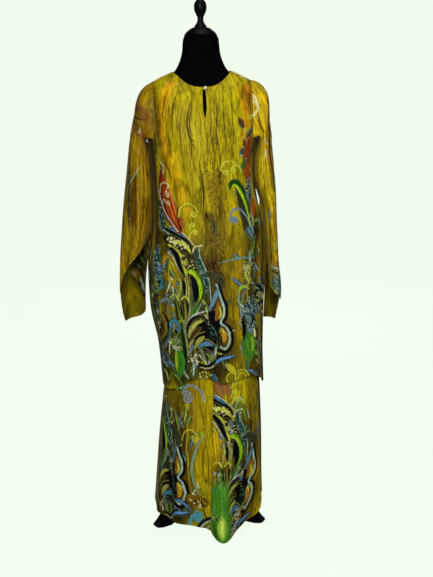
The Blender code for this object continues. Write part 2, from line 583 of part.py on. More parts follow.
def skirt(degrees, height, out=0.0):
    """The skirt's outer face, moved out by a given distance along the radius."""
    heights = column(SKIRT_ROWS, SKIRT_COLUMNS, "z")[::-1]
    get = {name: smooth_curve(height, heights, column(SKIRT_ROWS, SKIRT_COLUMNS, name)[::-1])
           for name in SKIRT_COLUMNS[1:]}
    s = np.sin(np.radians(degrees))
    c = np.cos(np.radians(degrees))
    depth = np.where(c >= 0, get["front"], get["back"])
    free = np.clip((SKIRT_FREE_Z - height) / (SKIRT_FREE_Z - SKIRT_HEIGHTS[-1]), 0, 1)
    hem = by_angle(SKIRT_HEM, angle_between(degrees, 0))
    z = np.where(free > 0, SKIRT_FREE_Z + (hem - SKIRT_FREE_Z) * free, height)
    half = (get["right"] - get["left"]) / 2
    radius = ring_radius(s, c, half, depth, SKIRT_SQUARENESS)
    radius = radius + folds_out(SKIRT_FOLDS, degrees, z) + out
    middle = (get["right"] + get["left"]) / 2
    return np.stack([middle + radius * s, -radius * c, z], axis=-1)


def pleat_path():
    """The front's path round the body near its pleat: distance along it, and distance out.

    The left part ends in the outer fold edge at 0, turns back under itself, and comes forward
    again as the third layer, which then rises to the skirt's own line.
    """
    step = PLEAT_STEP
    width = PLEAT_WIDTH
    under = [(step / 2, -step / 2), (0, -step), (-width / 2, -step), (-width, -step),
             (-width - step / 2, -1.5 * step), (-width, -2 * step), (-width / 2, -2 * step),
             (0, -1.9 * step), (0.009, -1.4 * step), (0.019, -0.6 * step), (0.031, 0),
             (0.044, 0)]
    return np.array(under)


def make_skirt():
    """The pleated front, the back, and the waistband above them."""
    edge = math.degrees(math.asin(PLEAT_X / 0.18))
    left = np.linspace(-90, edge, 12)
    path = pleat_path()
    degrees = []
    outs = []
    for height in SKIRT_HEIGHTS:
        per_metre = gap_degrees(1.0, float(np.linalg.norm(skirt(np.array(edge), np.array(height))[:2])))
        folded = edge + path[:, 0] * per_metre
        right = np.linspace(folded[-1], 90, 11)[1:]
        around = np.concatenate([left, folded, right])
        extra = np.array([around[0] - 4, around[-1] + 4])
        around[0] += TURN
        around[-1] -= TURN
        out = np.concatenate([np.zeros(len(left)), path[:, 1], np.zeros(len(right))])
        past = np.maximum(around - edge, 0) / per_metre
        past[:len(left) + 8] = 0
        stand = PLEAT_BULGE * ease((0.34 - height) / 0.30)
        out += stand * (past > 0) * np.exp(-((past - BULGE_PLACE) / BULGE_HALF_WIDTH) ** 2)
        degrees.append(np.concatenate([extra[:1], around, extra[1:]]))
        outs.append(np.concatenate([[0], out, [0]]))
    degrees = np.array(degrees)
    heights = np.repeat(SKIRT_HEIGHTS[:, None], degrees.shape[1], axis=1)
    points = skirt(degrees, heights, np.array(outs))
    along = np.gradient(points, axis=1)
    down = np.gradient(points, axis=0)
    outward = np.cross(down, along)
    outward /= np.linalg.norm(outward, axis=-1, keepdims=True)
    wall("skirt_front", points[:, 1:-1], outward[:, 1:-1], "printed_satin")
    u = np.repeat(np.linspace(90 + TURN, 270 - TURN, 17)[None, :], len(SKIRT_HEIGHTS), axis=0)
    v = np.repeat(SKIRT_HEIGHTS[:, None], 17, axis=1)
    wall("skirt_back", skirt(u, v), normals_of(skirt, u, v, 0.5, 0.002), "printed_satin")


def make_waistband():
    """A plain band round the waist above the skirt: an open ring with Solidify inwards."""
    u = np.linspace(0, 360, 33)[:-1]
    waist = skirt(u, np.full(32, SKIRT_HEIGHTS[0]))
    bm = bmesh.new()
    rings = []
    for z in (SKIRT_HEIGHTS[0] + 0.0005, SKIRT_HEIGHTS[0] + 0.0005 + BAND_HEIGHT):
        rings.append([bm.verts.new((x, y, z)) for x, y, _ in waist])
    for i in range(32):
        after = (i + 1) % 32
        bm.faces.new((rings[0][i], rings[0][after], rings[1][after], rings[1][i]))
    band = add_mesh("skirt_waistband", bm, "band_cloth")
    thick = band.modifiers.new("wall", "SOLIDIFY")
    thick.thickness = BAND_WALL
    thick.offset = -1


# ---------------------------------------------------------------- dress form and stand
def make_form(columns=28):
    """The padded torso: one smooth closed loft from its flat underside to the top of the neck."""
    rows = np.arange(len(FORM_ROWS))
    fine = np.concatenate([rows[:1], np.linspace(1, rows[-1], 24)])
    get = {name: smooth_curve(fine, rows, column(FORM_ROWS, FORM_COLUMNS, name))[:, None]
           for name in FORM_COLUMNS}
    turns = np.radians(np.arange(columns) * 360 / columns)[None, :]
    s, c = np.sin(turns), np.cos(turns)
    depth = np.where(c >= 0, get["front"], get["back"])
    radius = ring_radius(s, c, get["half"], depth, FORM_SQUARENESS)
    bm = bmesh.new()
    rings = [[bm.verts.new((r * si, -r * co, z[0])) for r, si, co in zip(row, s[0], c[0])]
             for row, z in zip(radius, get["z"])]
    for low, high in zip(rings, rings[1:]):
        for i in range(columns):
            after = (i + 1) % columns
            bm.faces.new((low[i], low[after], high[after], high[i]))
    bm.faces.new(rings[0][::-1])
    bm.faces.new(rings[-1])
    add_mesh("form_torso", bm, "form_jersey")


def turned(name, profile, finish_name):
    """A turned piece: its profile, top first, spun round the pole's axis with Screw."""
    mesh = bpy.data.meshes.new(name)
    spots = [(radius, 0, z) for radius, z in profile[::-1]]
    mesh.from_pydata(spots, [(i, i + 1) for i in range(len(spots) - 1)], [])
    mesh.materials.append(finish(finish_name))
    piece = bpy.data.objects.new(name, mesh)
    piece.location = (STAND_X, STAND_Y, 0)
    PARTS.objects.link(piece)
    spin = piece.modifiers.new("turning", "SCREW")
    spin.steps = spin.render_steps = 24
    spin.use_merge_vertices = True
    spin.merge_threshold = 0.00005
    spin.use_smooth_shade = True


def make_leg(name, degrees):
    """One scrolled leg, a flat outline cut from board, with its foot's underside flat at z 0."""
    leg = bpy.data.objects.new(name, flat_outline(name, LEG_OUTLINE, LEG_THICKNESS / 2))
    leg.data.materials.append(finish("black_wood"))
    out = Vector((math.sin(math.radians(degrees)), -math.cos(math.radians(degrees)), 0))
    up = Vector((0, 0, 1))
    turn = Matrix((out, up, out.cross(up))).transposed().to_4x4()
    leg.matrix_world = Matrix.Translation((STAND_X, STAND_Y, 0)) @ turn
    PARTS.objects.link(leg)


def make_stand():
    """Torso, neck cap, finial, pole, hub and the three legs."""
    make_form()
    turned("neck_cap", CAP_PROFILE, "black_wood")
    turned("finial", FINIAL_PROFILE, "black_wood")
    turned("base_hub", HUB_PROFILE, "black_wood")
    bpy.ops.mesh.primitive_cylinder_add(vertices=32, radius=POLE_RADIUS,
                                        depth=POLE_TOP_Z - POLE_FOOT_Z)
    pole = adopt(bpy.context.object, "pole", "black_wood")
    pole.location = (STAND_X, STAND_Y, (POLE_TOP_Z + POLE_FOOT_Z) / 2)
    for name, degrees in LEG_ANGLES.items():
        make_leg(name, degrees)


make_tunic()
make_sleeve(-1)
make_sleeve(1)
make_button()
make_skirt()
make_waistband()
make_stand()
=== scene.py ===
import math

import bpy
import numpy as np
from mathutils import Matrix, Vector


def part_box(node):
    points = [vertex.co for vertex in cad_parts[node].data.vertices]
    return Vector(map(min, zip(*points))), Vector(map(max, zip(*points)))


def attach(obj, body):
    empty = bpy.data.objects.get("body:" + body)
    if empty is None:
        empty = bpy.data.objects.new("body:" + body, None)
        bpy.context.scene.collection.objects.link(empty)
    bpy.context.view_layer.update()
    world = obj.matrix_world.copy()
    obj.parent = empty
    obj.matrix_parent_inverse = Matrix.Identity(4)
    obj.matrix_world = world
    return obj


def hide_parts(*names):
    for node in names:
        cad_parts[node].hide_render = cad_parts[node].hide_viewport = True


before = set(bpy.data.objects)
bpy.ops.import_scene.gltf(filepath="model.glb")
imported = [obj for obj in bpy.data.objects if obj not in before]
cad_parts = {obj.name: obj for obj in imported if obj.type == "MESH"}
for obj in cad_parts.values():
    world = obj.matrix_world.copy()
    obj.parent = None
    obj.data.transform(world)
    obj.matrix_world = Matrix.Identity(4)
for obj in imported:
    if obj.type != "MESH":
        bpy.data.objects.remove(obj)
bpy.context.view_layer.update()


# ---- stand: legs
# Three scrolled legs cut from one board and painted black. Each butts against the turned hub,
# and its foot is flat where it stands on the floor.
pole_low, pole_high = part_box("pole")
STAND = np.array([(pole_low[0] + pole_high[0]) / 2, (pole_low[1] + pole_high[1]) / 2, 0.0])
LEG_TOP_LINE = ((0.0302, 0.203), (0.050, 0.194), (0.075, 0.174), (0.098, 0.146), (0.118, 0.112),
    (0.135, 0.078), (0.152, 0.054), (0.172, 0.038), (0.192, 0.027), (0.2060, 0.0155), (0.2035, 0.0085),
    (0.193, 0.003), (0.176, 0.0))
LEG_UNDER_LINE = ((0.146, 0.0), (0.126, 0.012), (0.106, 0.036), (0.086, 0.066), (0.064, 0.096),
    (0.045, 0.120), (0.0302, 0.146))
LEG_THICKNESS = 0.022
LEG_ROUNDING = 0.004
LEG_ANGLES = {"leg_front_left": -60, "leg_front_right": 60, "leg_back": 180}


def through(points, per_span=6):
    """A smooth line through the points: Catmull-Rom, each span a cubic of its four neighbours."""
    points = np.asarray(points, float)
    if len(points) < 3:
        return points
    ends = np.vstack([2 * points[0] - points[1], points, 2 * points[-1] - points[-2]])
    t = np.linspace(0, 1, per_span, endpoint=False)[None, :, None]
    a, b, c, d = (ends[i:len(ends) - 3 + i, None, :] for i in range(4))
    line = b + (c - a) * t / 2 + (a - 2.5 * b + 2 * c - d / 2) * t ** 2 + (1.5 * (b - c) + (d - a)
        / 2) * t ** 3
    return np.vstack([line.reshape(-1, points.shape[1]), points[-1:]])


def new_piece(name, spots, faces, sharp=40):
    """A mesh object from its points and its faces, smooth but for edges over the sharp angle."""
    mesh = bpy.data.meshes.new(name)
    mesh.from_pydata(np.asarray(spots, float).tolist(), [], faces)
    mesh.update()
    mesh.shade_smooth()
    mesh.set_sharp_from_angle(angle=math.radians(sharp))
    piece = bpy.data.objects.new(name, mesh)
    bpy.context.scene.collection.objects.link(piece)
    return piece


def hand_in(piece, material, slot, *nodes):
    """Gives a piece its material and its body, and hides the solids that it stands for; slot is not used."""
    piece.data.materials.clear()
    piece.data.materials.append(material)
    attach(piece, "root")
    if nodes:
        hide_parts(*nodes)


def shader_nodes(name):
    """A new material: its node tree, its Principled shader and a short way to add a linked node."""
    material = bpy.data.materials.new(name)
    material.use_nodes = True
    tree = material.node_tree
    shader = tree.nodes["Principled BSDF"]

    def node(kind, inputs=None, **settings):
        made = tree.nodes.new("ShaderNode" + kind)
        for key, value in settings.items():
            setattr(made, key, value)
        for key, value in (inputs or {}).items():
            if isinstance(value, bpy.types.NodeSocket):
                tree.links.new(value, made.inputs[key])
            else:
                made.inputs[key].default_value = value
        return made

    def ramp(source, *stops):
        made = node("ValToRGB", {"Fac": source})
        band = made.color_ramp.elements
        while len(band) < len(stops):
            band.new(0.5)
        for element, (at, colour) in zip(band, stops):
            element.position = at
            element.color = (*colour, 1) if hasattr(colour, "__len__") else (colour, colour, colour, 1)
        return made.outputs["Color"]

    return material, tree, shader, node, ramp


def painted_wood():
    """Black paint on turned or sawn wood: brush marks along Z, and a little grey where it is worn."""
    material, tree, shader, node, ramp = shader_nodes("painted_wood")
    place = node("TexCoord").outputs["Object"]
    along = node("Mapping", {"Vector": place, "Scale": (90, 90, 9)}).outputs["Vector"]
    grain = node("TexNoise", {"Vector": along, "Scale": 1.0, "Detail": 5.0}).outputs["Fac"]
    cloud = node("TexNoise", {"Vector": place, "Scale": 22.0, "Detail": 3.0}).outputs["Fac"]
    edge = node("NewGeometry").outputs["Pointiness"]
    worn = ramp(edge, (0.53, 0.0), (0.62, 1.0))
    paint = ramp(cloud, (0.3, (0.0008, 0.0008, 0.0009)), (0.75, (0.0020, 0.0020, 0.0022)))
    shown = node("MixRGB", {"Fac": worn, "Color1": paint, "Color2": (0.010, 0.009, 0.008, 1)})
    tree.links.new(shown.outputs["Color"], shader.inputs["Base Color"])
    tree.links.new(ramp(grain, (0.2, 0.32), (0.8, 0.48)), shader.inputs["Roughness"])
    bump = node("Bump", {"Height": grain, "Strength": 0.25, "Distance": 0.0004})
    tree.links.new(bump.outputs["Normal"], shader.inputs["Normal"])
    shader.inputs["Specular IOR Level"].default_value = 0.06
    return material


def leg_shape(degrees):
    """One leg: its outline in layers through its thickness, each inset by a quarter round's cosine."""
    line = np.vstack([through(LEG_TOP_LINE, 8), through(LEG_UNDER_LINE, 8)])
    line[:, 1] = np.maximum(line[:, 1], 0)
    tangent = np.roll(line, -1, axis=0) - np.roll(line, 1, axis=0)
    inward = np.stack([tangent[:, 1], -tangent[:, 0]], axis=-1)
    inward /= np.linalg.norm(inward, axis=1, keepdims=True)
    turns = np.radians(np.linspace(0, 90, 5))
    insets = LEG_ROUNDING * (1 - np.concatenate([np.sin(turns), np.cos(turns)]))
    depths = LEG_THICKNESS / 2 - LEG_ROUNDING * (1 - np.cos(turns))
    depths = np.concatenate([depths, -depths[::-1]])
    layers = line[None] + insets[:, None, None] * inward[None]
    layers[..., 1] = np.maximum(layers[..., 1], 0)
    layers[..., 0] = np.maximum(layers[..., 0], LEG_TOP_LINE[0][0])
    out = np.array([math.sin(math.radians(degrees)), -math.cos(math.radians(degrees)), 0])
    across = np.cross(out, (0, 0, 1))
    spots = (STAND + layers[..., :1] * out + depths[:, None, None] * across + layers[..., 1:]
        * np.array([0, 0, 1.0]))
    count = len(line)
    i = np.arange(count)
    after = (i + 1) % count
    faces = [np.stack([k * count + i, k * count + after, (k + 1) * count + after, (k + 1) * count + i],
        axis=-1).tolist() for k in range(len(depths) - 1)]
    faces = [face for band in faces for face in band]
    faces.append(list(range(count))[::-1])
    faces.append(list(range((len(depths) - 1) * count, len(depths) * count)))
    return spots.reshape(-1, 3), faces


def outward(piece):
    """Turns a closed piece's faces out, by its signed volume."""
    mesh = piece.data
    mesh.calc_loop_triangles()
    corners = np.empty(len(mesh.loop_triangles) * 3, int)
    mesh.loop_triangles.foreach_get("vertices", corners)
    spots = np.empty(len(mesh.vertices) * 3)
    mesh.vertices.foreach_get("co", spots)
    a, b, c = spots.reshape(-1, 3)[corners].reshape(-1, 3, 3).transpose(1, 0, 2)
    if np.einsum("ij,ij->", a, np.cross(b, c)) < 0:
        mesh.flip_normals()


black_paint = painted_wood()
for leg_name, leg_angle in LEG_ANGLES.items():
    leg = new_piece(leg_name + "_shaped", *leg_shape(leg_angle))
    outward(leg)
    hand_in(leg, black_paint, "black_wood", leg_name)


# ---- stand: turned parts
# The hub that holds the legs, the pole up to the torso, the cap on the neck and the finial on
# top of it. All are turned from wood on a lathe and painted black like the legs.
HUB_PROFILE = ((0.0, 0.1400), (0.0170, 0.1400), (0.0190, 0.1410), (0.0240, 0.1470), (0.0262, 0.1500),
    (0.0262, 0.1520), (0.0290, 0.1560), (0.0290, 0.1910), (0.0262, 0.1950), (0.0262, 0.1970),
    (0.0240, 0.2050), (0.0200, 0.2130), (0.0160, 0.2150), (0.0, 0.2150))
POLE_PROFILE = ((0.0, 0.2153), (0.0125, 0.2153), (0.0125, 0.3400), (0.0125, 0.5000), (0.0125, 0.7197),
    (0.0, 0.7197))
CAP_PROFILE = ((0.0, 1.5450), (0.0490, 1.5450), (0.0506, 1.5458), (0.0510, 1.5480), (0.0500, 1.5500),
    (0.0460, 1.5560), (0.0415, 1.5605), (0.0370, 1.5640), (0.0325, 1.5675), (0.0280, 1.5700),
    (0.0230, 1.5710), (0.0, 1.5710))
FINIAL_PROFILE = ((0.0, 1.5713), (0.0180, 1.5713), (0.0190, 1.5722), (0.0190, 1.5755), (0.0180, 1.5770),
    (0.0130, 1.5830), (0.0100, 1.5890), (0.0090, 1.5960), (0.0093, 1.6020), (0.0120, 1.6060),
    (0.0121, 1.6082), (0.0150, 1.6130), (0.0180, 1.6200), (0.0194, 1.6290), (0.0192, 1.6360),
    (0.0178, 1.6425), (0.0150, 1.6470), (0.0118, 1.6505), (0.0118, 1.6525), (0.0095, 1.6570),
    (0.0070, 1.6620), (0.0042, 1.6660), (0.0, 1.6680))


def turned(name, profile, node, turns=72):
    """A lathe's work: the profile with its corners cut off twice, spun round the pole's line."""
    line = np.array(profile)
    for _ in range(2):
        near = 0.88 * line[:-1] + 0.12 * line[1:]
        far = 0.12 * line[:-1] + 0.88 * line[1:]
        line = np.vstack([line[:1], np.stack([near, far], 1).reshape(-1, 2)[1:-1], line[-1:]])
    rim = line[1:-1]
    angle = np.arange(turns) * 2 * math.pi / turns
    ring = np.stack([np.cos(angle), np.sin(angle)], axis=-1)
    spots = np.concatenate([rim[:, None, :1] * ring[None], np.repeat(rim[:, None, 1:], turns, 1)], -1)
    spots = np.vstack([spots.reshape(-1, 3), [[0, 0, line[0, 1]], [0, 0, line[-1, 1]]]]) + STAND
    j, i = np.meshgrid(np.arange(len(rim) - 1), np.arange(turns), indexing="ij")
    after = (i + 1) % turns
    quads = np.stack([j * turns + i, j * turns + after, (j + 1) * turns + after, (j + 1) * turns + i], -1)
    i = np.arange(turns)
    foot = np.stack([i * 0 + len(rim) * turns, (i + 1) % turns, i], -1)
    top = (len(rim) - 1) * turns
    head = np.stack([i * 0 + len(rim) * turns + 1, top + i, top + (i + 1) % turns], -1)
    piece = new_piece(name, spots, quads.reshape(-1, 4).tolist() + foot.tolist() + head.tolist(), 35)
    hand_in(piece, black_paint, "black_wood", node)
    return piece


turned("base_hub_turned", HUB_PROFILE, "base_hub")
turned("pole_turned", POLE_PROFILE, "pole", 48)
turned("neck_cap_turned", CAP_PROFILE, "neck_cap")
turned("finial_turned", FINIAL_PROFILE, "finial")


# ---- dress form
# A padded torso without arms, covered in black jersey sewn from eight upright panels that meet
# in narrow seams. It stands on the pole and carries the tunic on its shoulders.
FORM_COLUMNS = ("z", "half", "front", "back")
FORM_ROWS = (
    (0.7200, 0.134, 0.094, 0.100), (0.7300, 0.141, 0.100, 0.106), (0.8000, 0.150, 0.106, 0.112),
    (0.8600, 0.152, 0.107, 0.112), (0.9500, 0.139, 0.099, 0.100), (1.0300, 0.123, 0.088, 0.087),
    (1.1000, 0.130, 0.100, 0.091), (1.1800, 0.142, 0.110, 0.099), (1.2500, 0.151, 0.112, 0.104),
    (1.3100, 0.160, 0.101, 0.094), (1.3500, 0.167, 0.092, 0.084), (1.3800, 0.166, 0.078, 0.070),
    (1.3970, 0.158, 0.069, 0.059), (1.4080, 0.144, 0.062, 0.052), (1.4210, 0.118, 0.058, 0.046),
    (1.4360, 0.091, 0.056, 0.043), (1.4480, 0.079, 0.056, 0.046), (1.4700, 0.067, 0.056, 0.052),
    (1.5000, 0.058, 0.056, 0.054), (1.5380, 0.054, 0.054, 0.054), (1.5447, 0.051, 0.051, 0.051),
)
FORM_SQUARENESS = 2.2
FORM_PANELS = 8
SEAM_SINK = 0.0007


def column(rows, columns, name):
    """One named column of a table as an array."""
    return np.array([row[columns.index(name)] for row in rows])


def smooth_curve(at, knots, values):
    """Cubic Hermite through the knots, with slopes limited so that it never overshoots."""
    knots = np.asarray(knots, float)
    values = np.asarray(values, float)
    step = np.diff(knots)
    rise = np.diff(values) / step
    slope = np.zeros_like(values)
    same_way = rise[:-1] * rise[1:] > 0
    harmonic = 2 * rise[:-1] * rise[1:] / np.where(same_way, rise[:-1] + rise[1:], 1)
    slope[1:-1] = np.where(same_way, harmonic, 0)
    slope[0], slope[-1] = rise[0], rise[-1]
    at = np.clip(at, knots[0], knots[-1])
    i = np.clip(np.searchsorted(knots, at, side="right") - 1, 0, len(step) - 1)
    h = step[i]
    t = (at - knots[i]) / h
    return (values[i] * (1 + 2 * t) * (1 - t) ** 2 + slope[i] * h * t * (1 - t) ** 2 + values[i + 1] * t * t
        * (3 - 2 * t) - slope[i + 1] * h * t * t * (1 - t))


def ring_radius(s, c, half, depth, power):
    """Polar radius of a rounded ring: half wide at the sides, depth deep where c is 1."""
    return ((np.abs(s) / half) ** power + (np.abs(c) / depth) ** power) ** (-1 / power)


def jersey():
    """Black knitted cover: rows of stitches run round the form, and lint makes its black uneven."""
    material, tree, shader, node, ramp = shader_nodes("form_jersey_cover")
    place = node("TexCoord").outputs["Object"]
    rows = node("TexWave", {"Vector": place, "Scale": 260.0, "Distortion": 1.2, "Detail": 1.0},
        bands_direction="Z").outputs["Fac"]
    lint = node("TexNoise", {"Vector": place, "Scale": 35.0, "Detail": 4.0}).outputs["Fac"]
    black = ramp(lint, (0.35, (0.0006, 0.0006, 0.0008)), (0.80, (0.0016, 0.0016, 0.0019)))
    tree.links.new(black, shader.inputs["Base Color"])
    tree.links.new(ramp(lint, (0.3, 0.78), (0.8, 0.92)), shader.inputs["Roughness"])
    bump = node("Bump", {"Height": rows, "Strength": 0.35, "Distance": 0.0003})
    tree.links.new(bump.outputs["Normal"], shader.inputs["Normal"])
    shader.inputs["Specular IOR Level"].default_value = 0.01
    return material


def form_shape(columns=160, rows=230):
    """The torso: rounded rings from the table, drawn in along the panels' seams by a narrow bell."""
    knots = np.arange(len(FORM_ROWS))
    fine = np.concatenate([[0.0, 0.35, 0.7], np.linspace(1, knots[-1], rows)])[:, None]
    get = {name: smooth_curve(fine, knots, column(FORM_ROWS, FORM_COLUMNS, name)) for name in FORM_COLUMNS}
    turn = np.arange(columns)[None, :] * 2 * math.pi / columns
    s, c = np.sin(turn), np.cos(turn)
    radius = ring_radius(s, c, get["half"], np.where(c >= 0, get["front"], get["back"]), FORM_SQUARENESS)
    seam = (turn * FORM_PANELS / (2 * math.pi) + 0.5) % 1 - 0.5
    radius = radius - SEAM_SINK * np.exp(-(seam * 2 * math.pi / FORM_PANELS * radius / 0.003) ** 2)
    z = np.broadcast_to(get["z"], radius.shape)
    spots = np.stack([radius * s, -radius * c, z], axis=-1) + STAND
    count = len(fine)
    j, i = np.meshgrid(np.arange(count - 1), np.arange(columns), indexing="ij")
    after = (i + 1) % columns
    quads = np.stack([j * columns + i, j * columns + after, (j + 1) * columns + after, (j + 1) * columns
        + i], -1)
    faces = quads.reshape(-1, 4).tolist()
    faces += [list(range(columns))[::-1], list(range((count - 1) * columns, count * columns))]
    return spots.reshape(-1, 3), faces


form = new_piece("dress_form", *form_shape(), 60)
hand_in(form, jersey(), "form_jersey", "form_torso")


# ---- cloth
# The whole suit is cut from one bolt of thin printed satin: a streaky olive-gold ground with a
# large painted figure of arches, petals, leaves and curls. Each cut piece is a closed thin wall.
CLOTH = 0.0009           # the cloth alone; its solid's wall includes the turned edges
COARSE = 4               # the wrong side's grid is this much wider than the face's
INK_EDGE = 1.3           # how far an ink edge spreads, in millimetres, as all print sizes are
OUTLINED = 7             # leaf strokes from this width up have outlines
WRONG_SIDE = 0.5         # how much of its colour the wrong side shows


def ink(red, green, blue):
    """A printed colour in steps of 0 to 255, as the linear numbers that a shader takes."""
    share = np.array((red, green, blue)) / 255
    return np.where(share <= 0.04045, share / 12.92, ((share + 0.055) / 1.055) ** 2.4)


OLIVE, GOLD, AMBER = ink(160, 142, 6), ink(196, 158, 12), ink(190, 132, 10)
BROWN, DARK, BLACK = ink(92, 58, 6), ink(38, 24, 8), ink(7, 7, 12)
CREAM, LIME, PALE = ink(232, 226, 160), ink(206, 214, 60), ink(172, 200, 180)
LEAF_GREEN, TEAL = ink(146, 194, 26), ink(48, 104, 92)
BLUE, SKY, LILAC = ink(24, 100, 150), ink(92, 148, 205), ink(138, 150, 152)
ORANGE, WHITE = ink(214, 96, 26), ink(236, 240, 226)
RIM = ink(150, 160, 96)


class Cloth:
    """A stretch of cloth to print on: where each of its points lies on the bolt, in millimetres
    across and up, its ground colour, and the figure over it as colour times cover, and cover.
    A stroke's points are a run of numbers, across and up in turn."""

    def __init__(self, across, up):
        self.across, self.up = across.ravel() * 1000, up.ravel() * 1000
        self.ground = np.tile(OLIVE, (across.size, 1))
        self.figure = np.zeros((across.size, 4))

    def moved(self, across, up):
        """The same cloth seen from a repeat whose own origin is shifted by that much."""
        other = Cloth.__new__(Cloth)
        other.__dict__.update(self.__dict__)
        other.across, other.up = self.across - across, self.up - up
        return other

    def inside(self, low, high):
        """The points in a box."""
        return np.flatnonzero((self.across > low[0]) & (self.across < high[0]) & (self.up > low[1])
            & (self.up < high[1]))

    def lay(self, spots, cover, colour, ground):
        """Ink over what is there: old times one minus cover, plus new times cover."""
        left = 1 - cover[:, None]
        if ground:
            self.ground[spots] = self.ground[spots] * left + colour * cover[:, None]
            return
        self.figure[spots, :3] = self.figure[spots, :3] * left + colour * cover[:, None]
        self.figure[spots, 3] = self.figure[spots, 3] * left[:, 0] + cover

    def line(self, points, width, colour, form="even", strength=1.0, ground=False, blur=None):
        """A stroke along a smooth line: full within half its width, fading over the ink's edge.

        form is how the width goes along it: even, leaf (a half sine) or tail (thinning to its end).
        A broad leaf is first drawn wider in black and in pale ink, which leaves its outlines.
        """
        if form == "leaf" and width >= OUTLINED and blur is None:
            self.line(points, width + 6.0, BLACK, form, 0.85, blur=2.2)
            self.line(points, width + 2.0, RIM if sum(colour) < sum(RIM) else ink(60, 74, 20), form, 0.9,
                blur=1.0)
        spine = through(np.reshape(points, (-1, 2)))
        blur = INK_EDGE if blur is None else blur
        reach = width / 2 + blur
        spots = self.inside(spine.min(axis=0) - reach, spine.max(axis=0) + reach)
        if not spots.size:
            return
        at = np.stack([self.across[spots], self.up[spots]], axis=-1)[:, None]
        start, run = spine[None, :-1], np.diff(spine, axis=0)[None]
        t = np.clip(((at - start) * run).sum(-1) / (run ** 2).sum(-1), 0, 1)
        off = np.hypot(*np.moveaxis(at - start - t[..., None] * run, -1, 0))
        nearest = off.argmin(axis=1)
        rows = np.arange(len(spots))
        along = (nearest + t[rows, nearest]) / run.shape[1]
        half = width / 2 * {"even": np.ones_like(along), "leaf": np.sin(math.pi * along) ** 0.7,
            "tail": (1 - along) ** 0.6}[form]
        cover = strength * np.clip((half - off[rows, nearest]) / blur + 0.5, 0, 1)
        self.lay(spots, cover, colour, ground)

    def leaves(self, *strokes):
        """Leaf strokes in turn, each its points, width, colour and perhaps strength."""
        for points, width, colour, *strength in strokes:
            self.line(points, width, colour, "leaf", *strength)

    def curl(self, x, y, radius, start, turns, width, colour, lead=()):
        """A line that winds in to a curl's middle: angle grows evenly while its radius shrinks."""
        share = np.linspace(0, 1, max(8, int(abs(turns) * 12)))
        angle = np.radians(start) + share * turns * 2 * math.pi
        reach = radius * (1 - 0.78 * share)
        wound = np.stack([x + reach * np.cos(angle), y + reach * np.sin(angle)], axis=-1)
        self.line(np.vstack([np.reshape(lead, (-1, 2)), wound]), width, colour)
        self.line([wound[-1], wound[-1] + (0.1, 0.1)], width * 1.7, colour)

    def dots(self, spots, width, colour):
        """Round dots of one size."""
        for spot in spots:
            self.line([spot, (spot[0] + 0.1, spot[1])], width, colour)

    def beads(self, x, y, wide, tall, cell, ground, colours, lean=0, fill=0.85, seed=1):
        """An oval patch of small beads, one in each cell of a grid, its place, size and colour
        taken from the cell's own number; ground is the colour between them, or None."""
        reach = max(wide, tall) / 2 + cell
        spots = self.inside((x - reach, y - reach), (x + reach, y + reach))
        c, s = math.cos(math.radians(lean)), math.sin(math.radians(lean))
        dx, dy = self.across[spots] - x, self.up[spots] - y
        u, v = dx * c + dy * s, dy * c - dx * s
        ragged = 0.10 * np.sin(u * 0.9 + seed) + 0.08 * np.sin(v * 1.3 + 2 * seed)
        inside = 1 - np.hypot(u * 2 / wide, v * 2 / tall) + ragged
        if ground is not None:
            self.lay(spots, np.clip(inside * 7, 0, 1), ground, False)
        i, j = np.floor(u / cell), np.floor(v / cell)
        chance = [np.abs(np.modf(np.sin(i * 127.1 + j * 311.7 + seed * 74.7 + k * 19.19) * 43758.55)[0])
            for k in range(4)]
        size = cell * (0.24 + 0.22 * chance[2])
        off = np.hypot(u - (i + 0.35 + 0.3 * chance[0]) * cell, v - (j + 0.35 + 0.3 * chance[1]) * cell)
        cover = np.clip((size - off) / INK_EDGE + 0.5, 0, 1) * (chance[3] < fill) * (inside > 0.02)
        tint = np.array(colours)[(chance[2] * 0.999 * len(colours)).astype(int)]
        self.lay(spots, cover, tint, False)

    def wash(self, points, width, colour, strength=0.8):
        """A broad soft band of ground colour."""
        self.line(points, width, colour, "even", strength, True, width * 0.5)


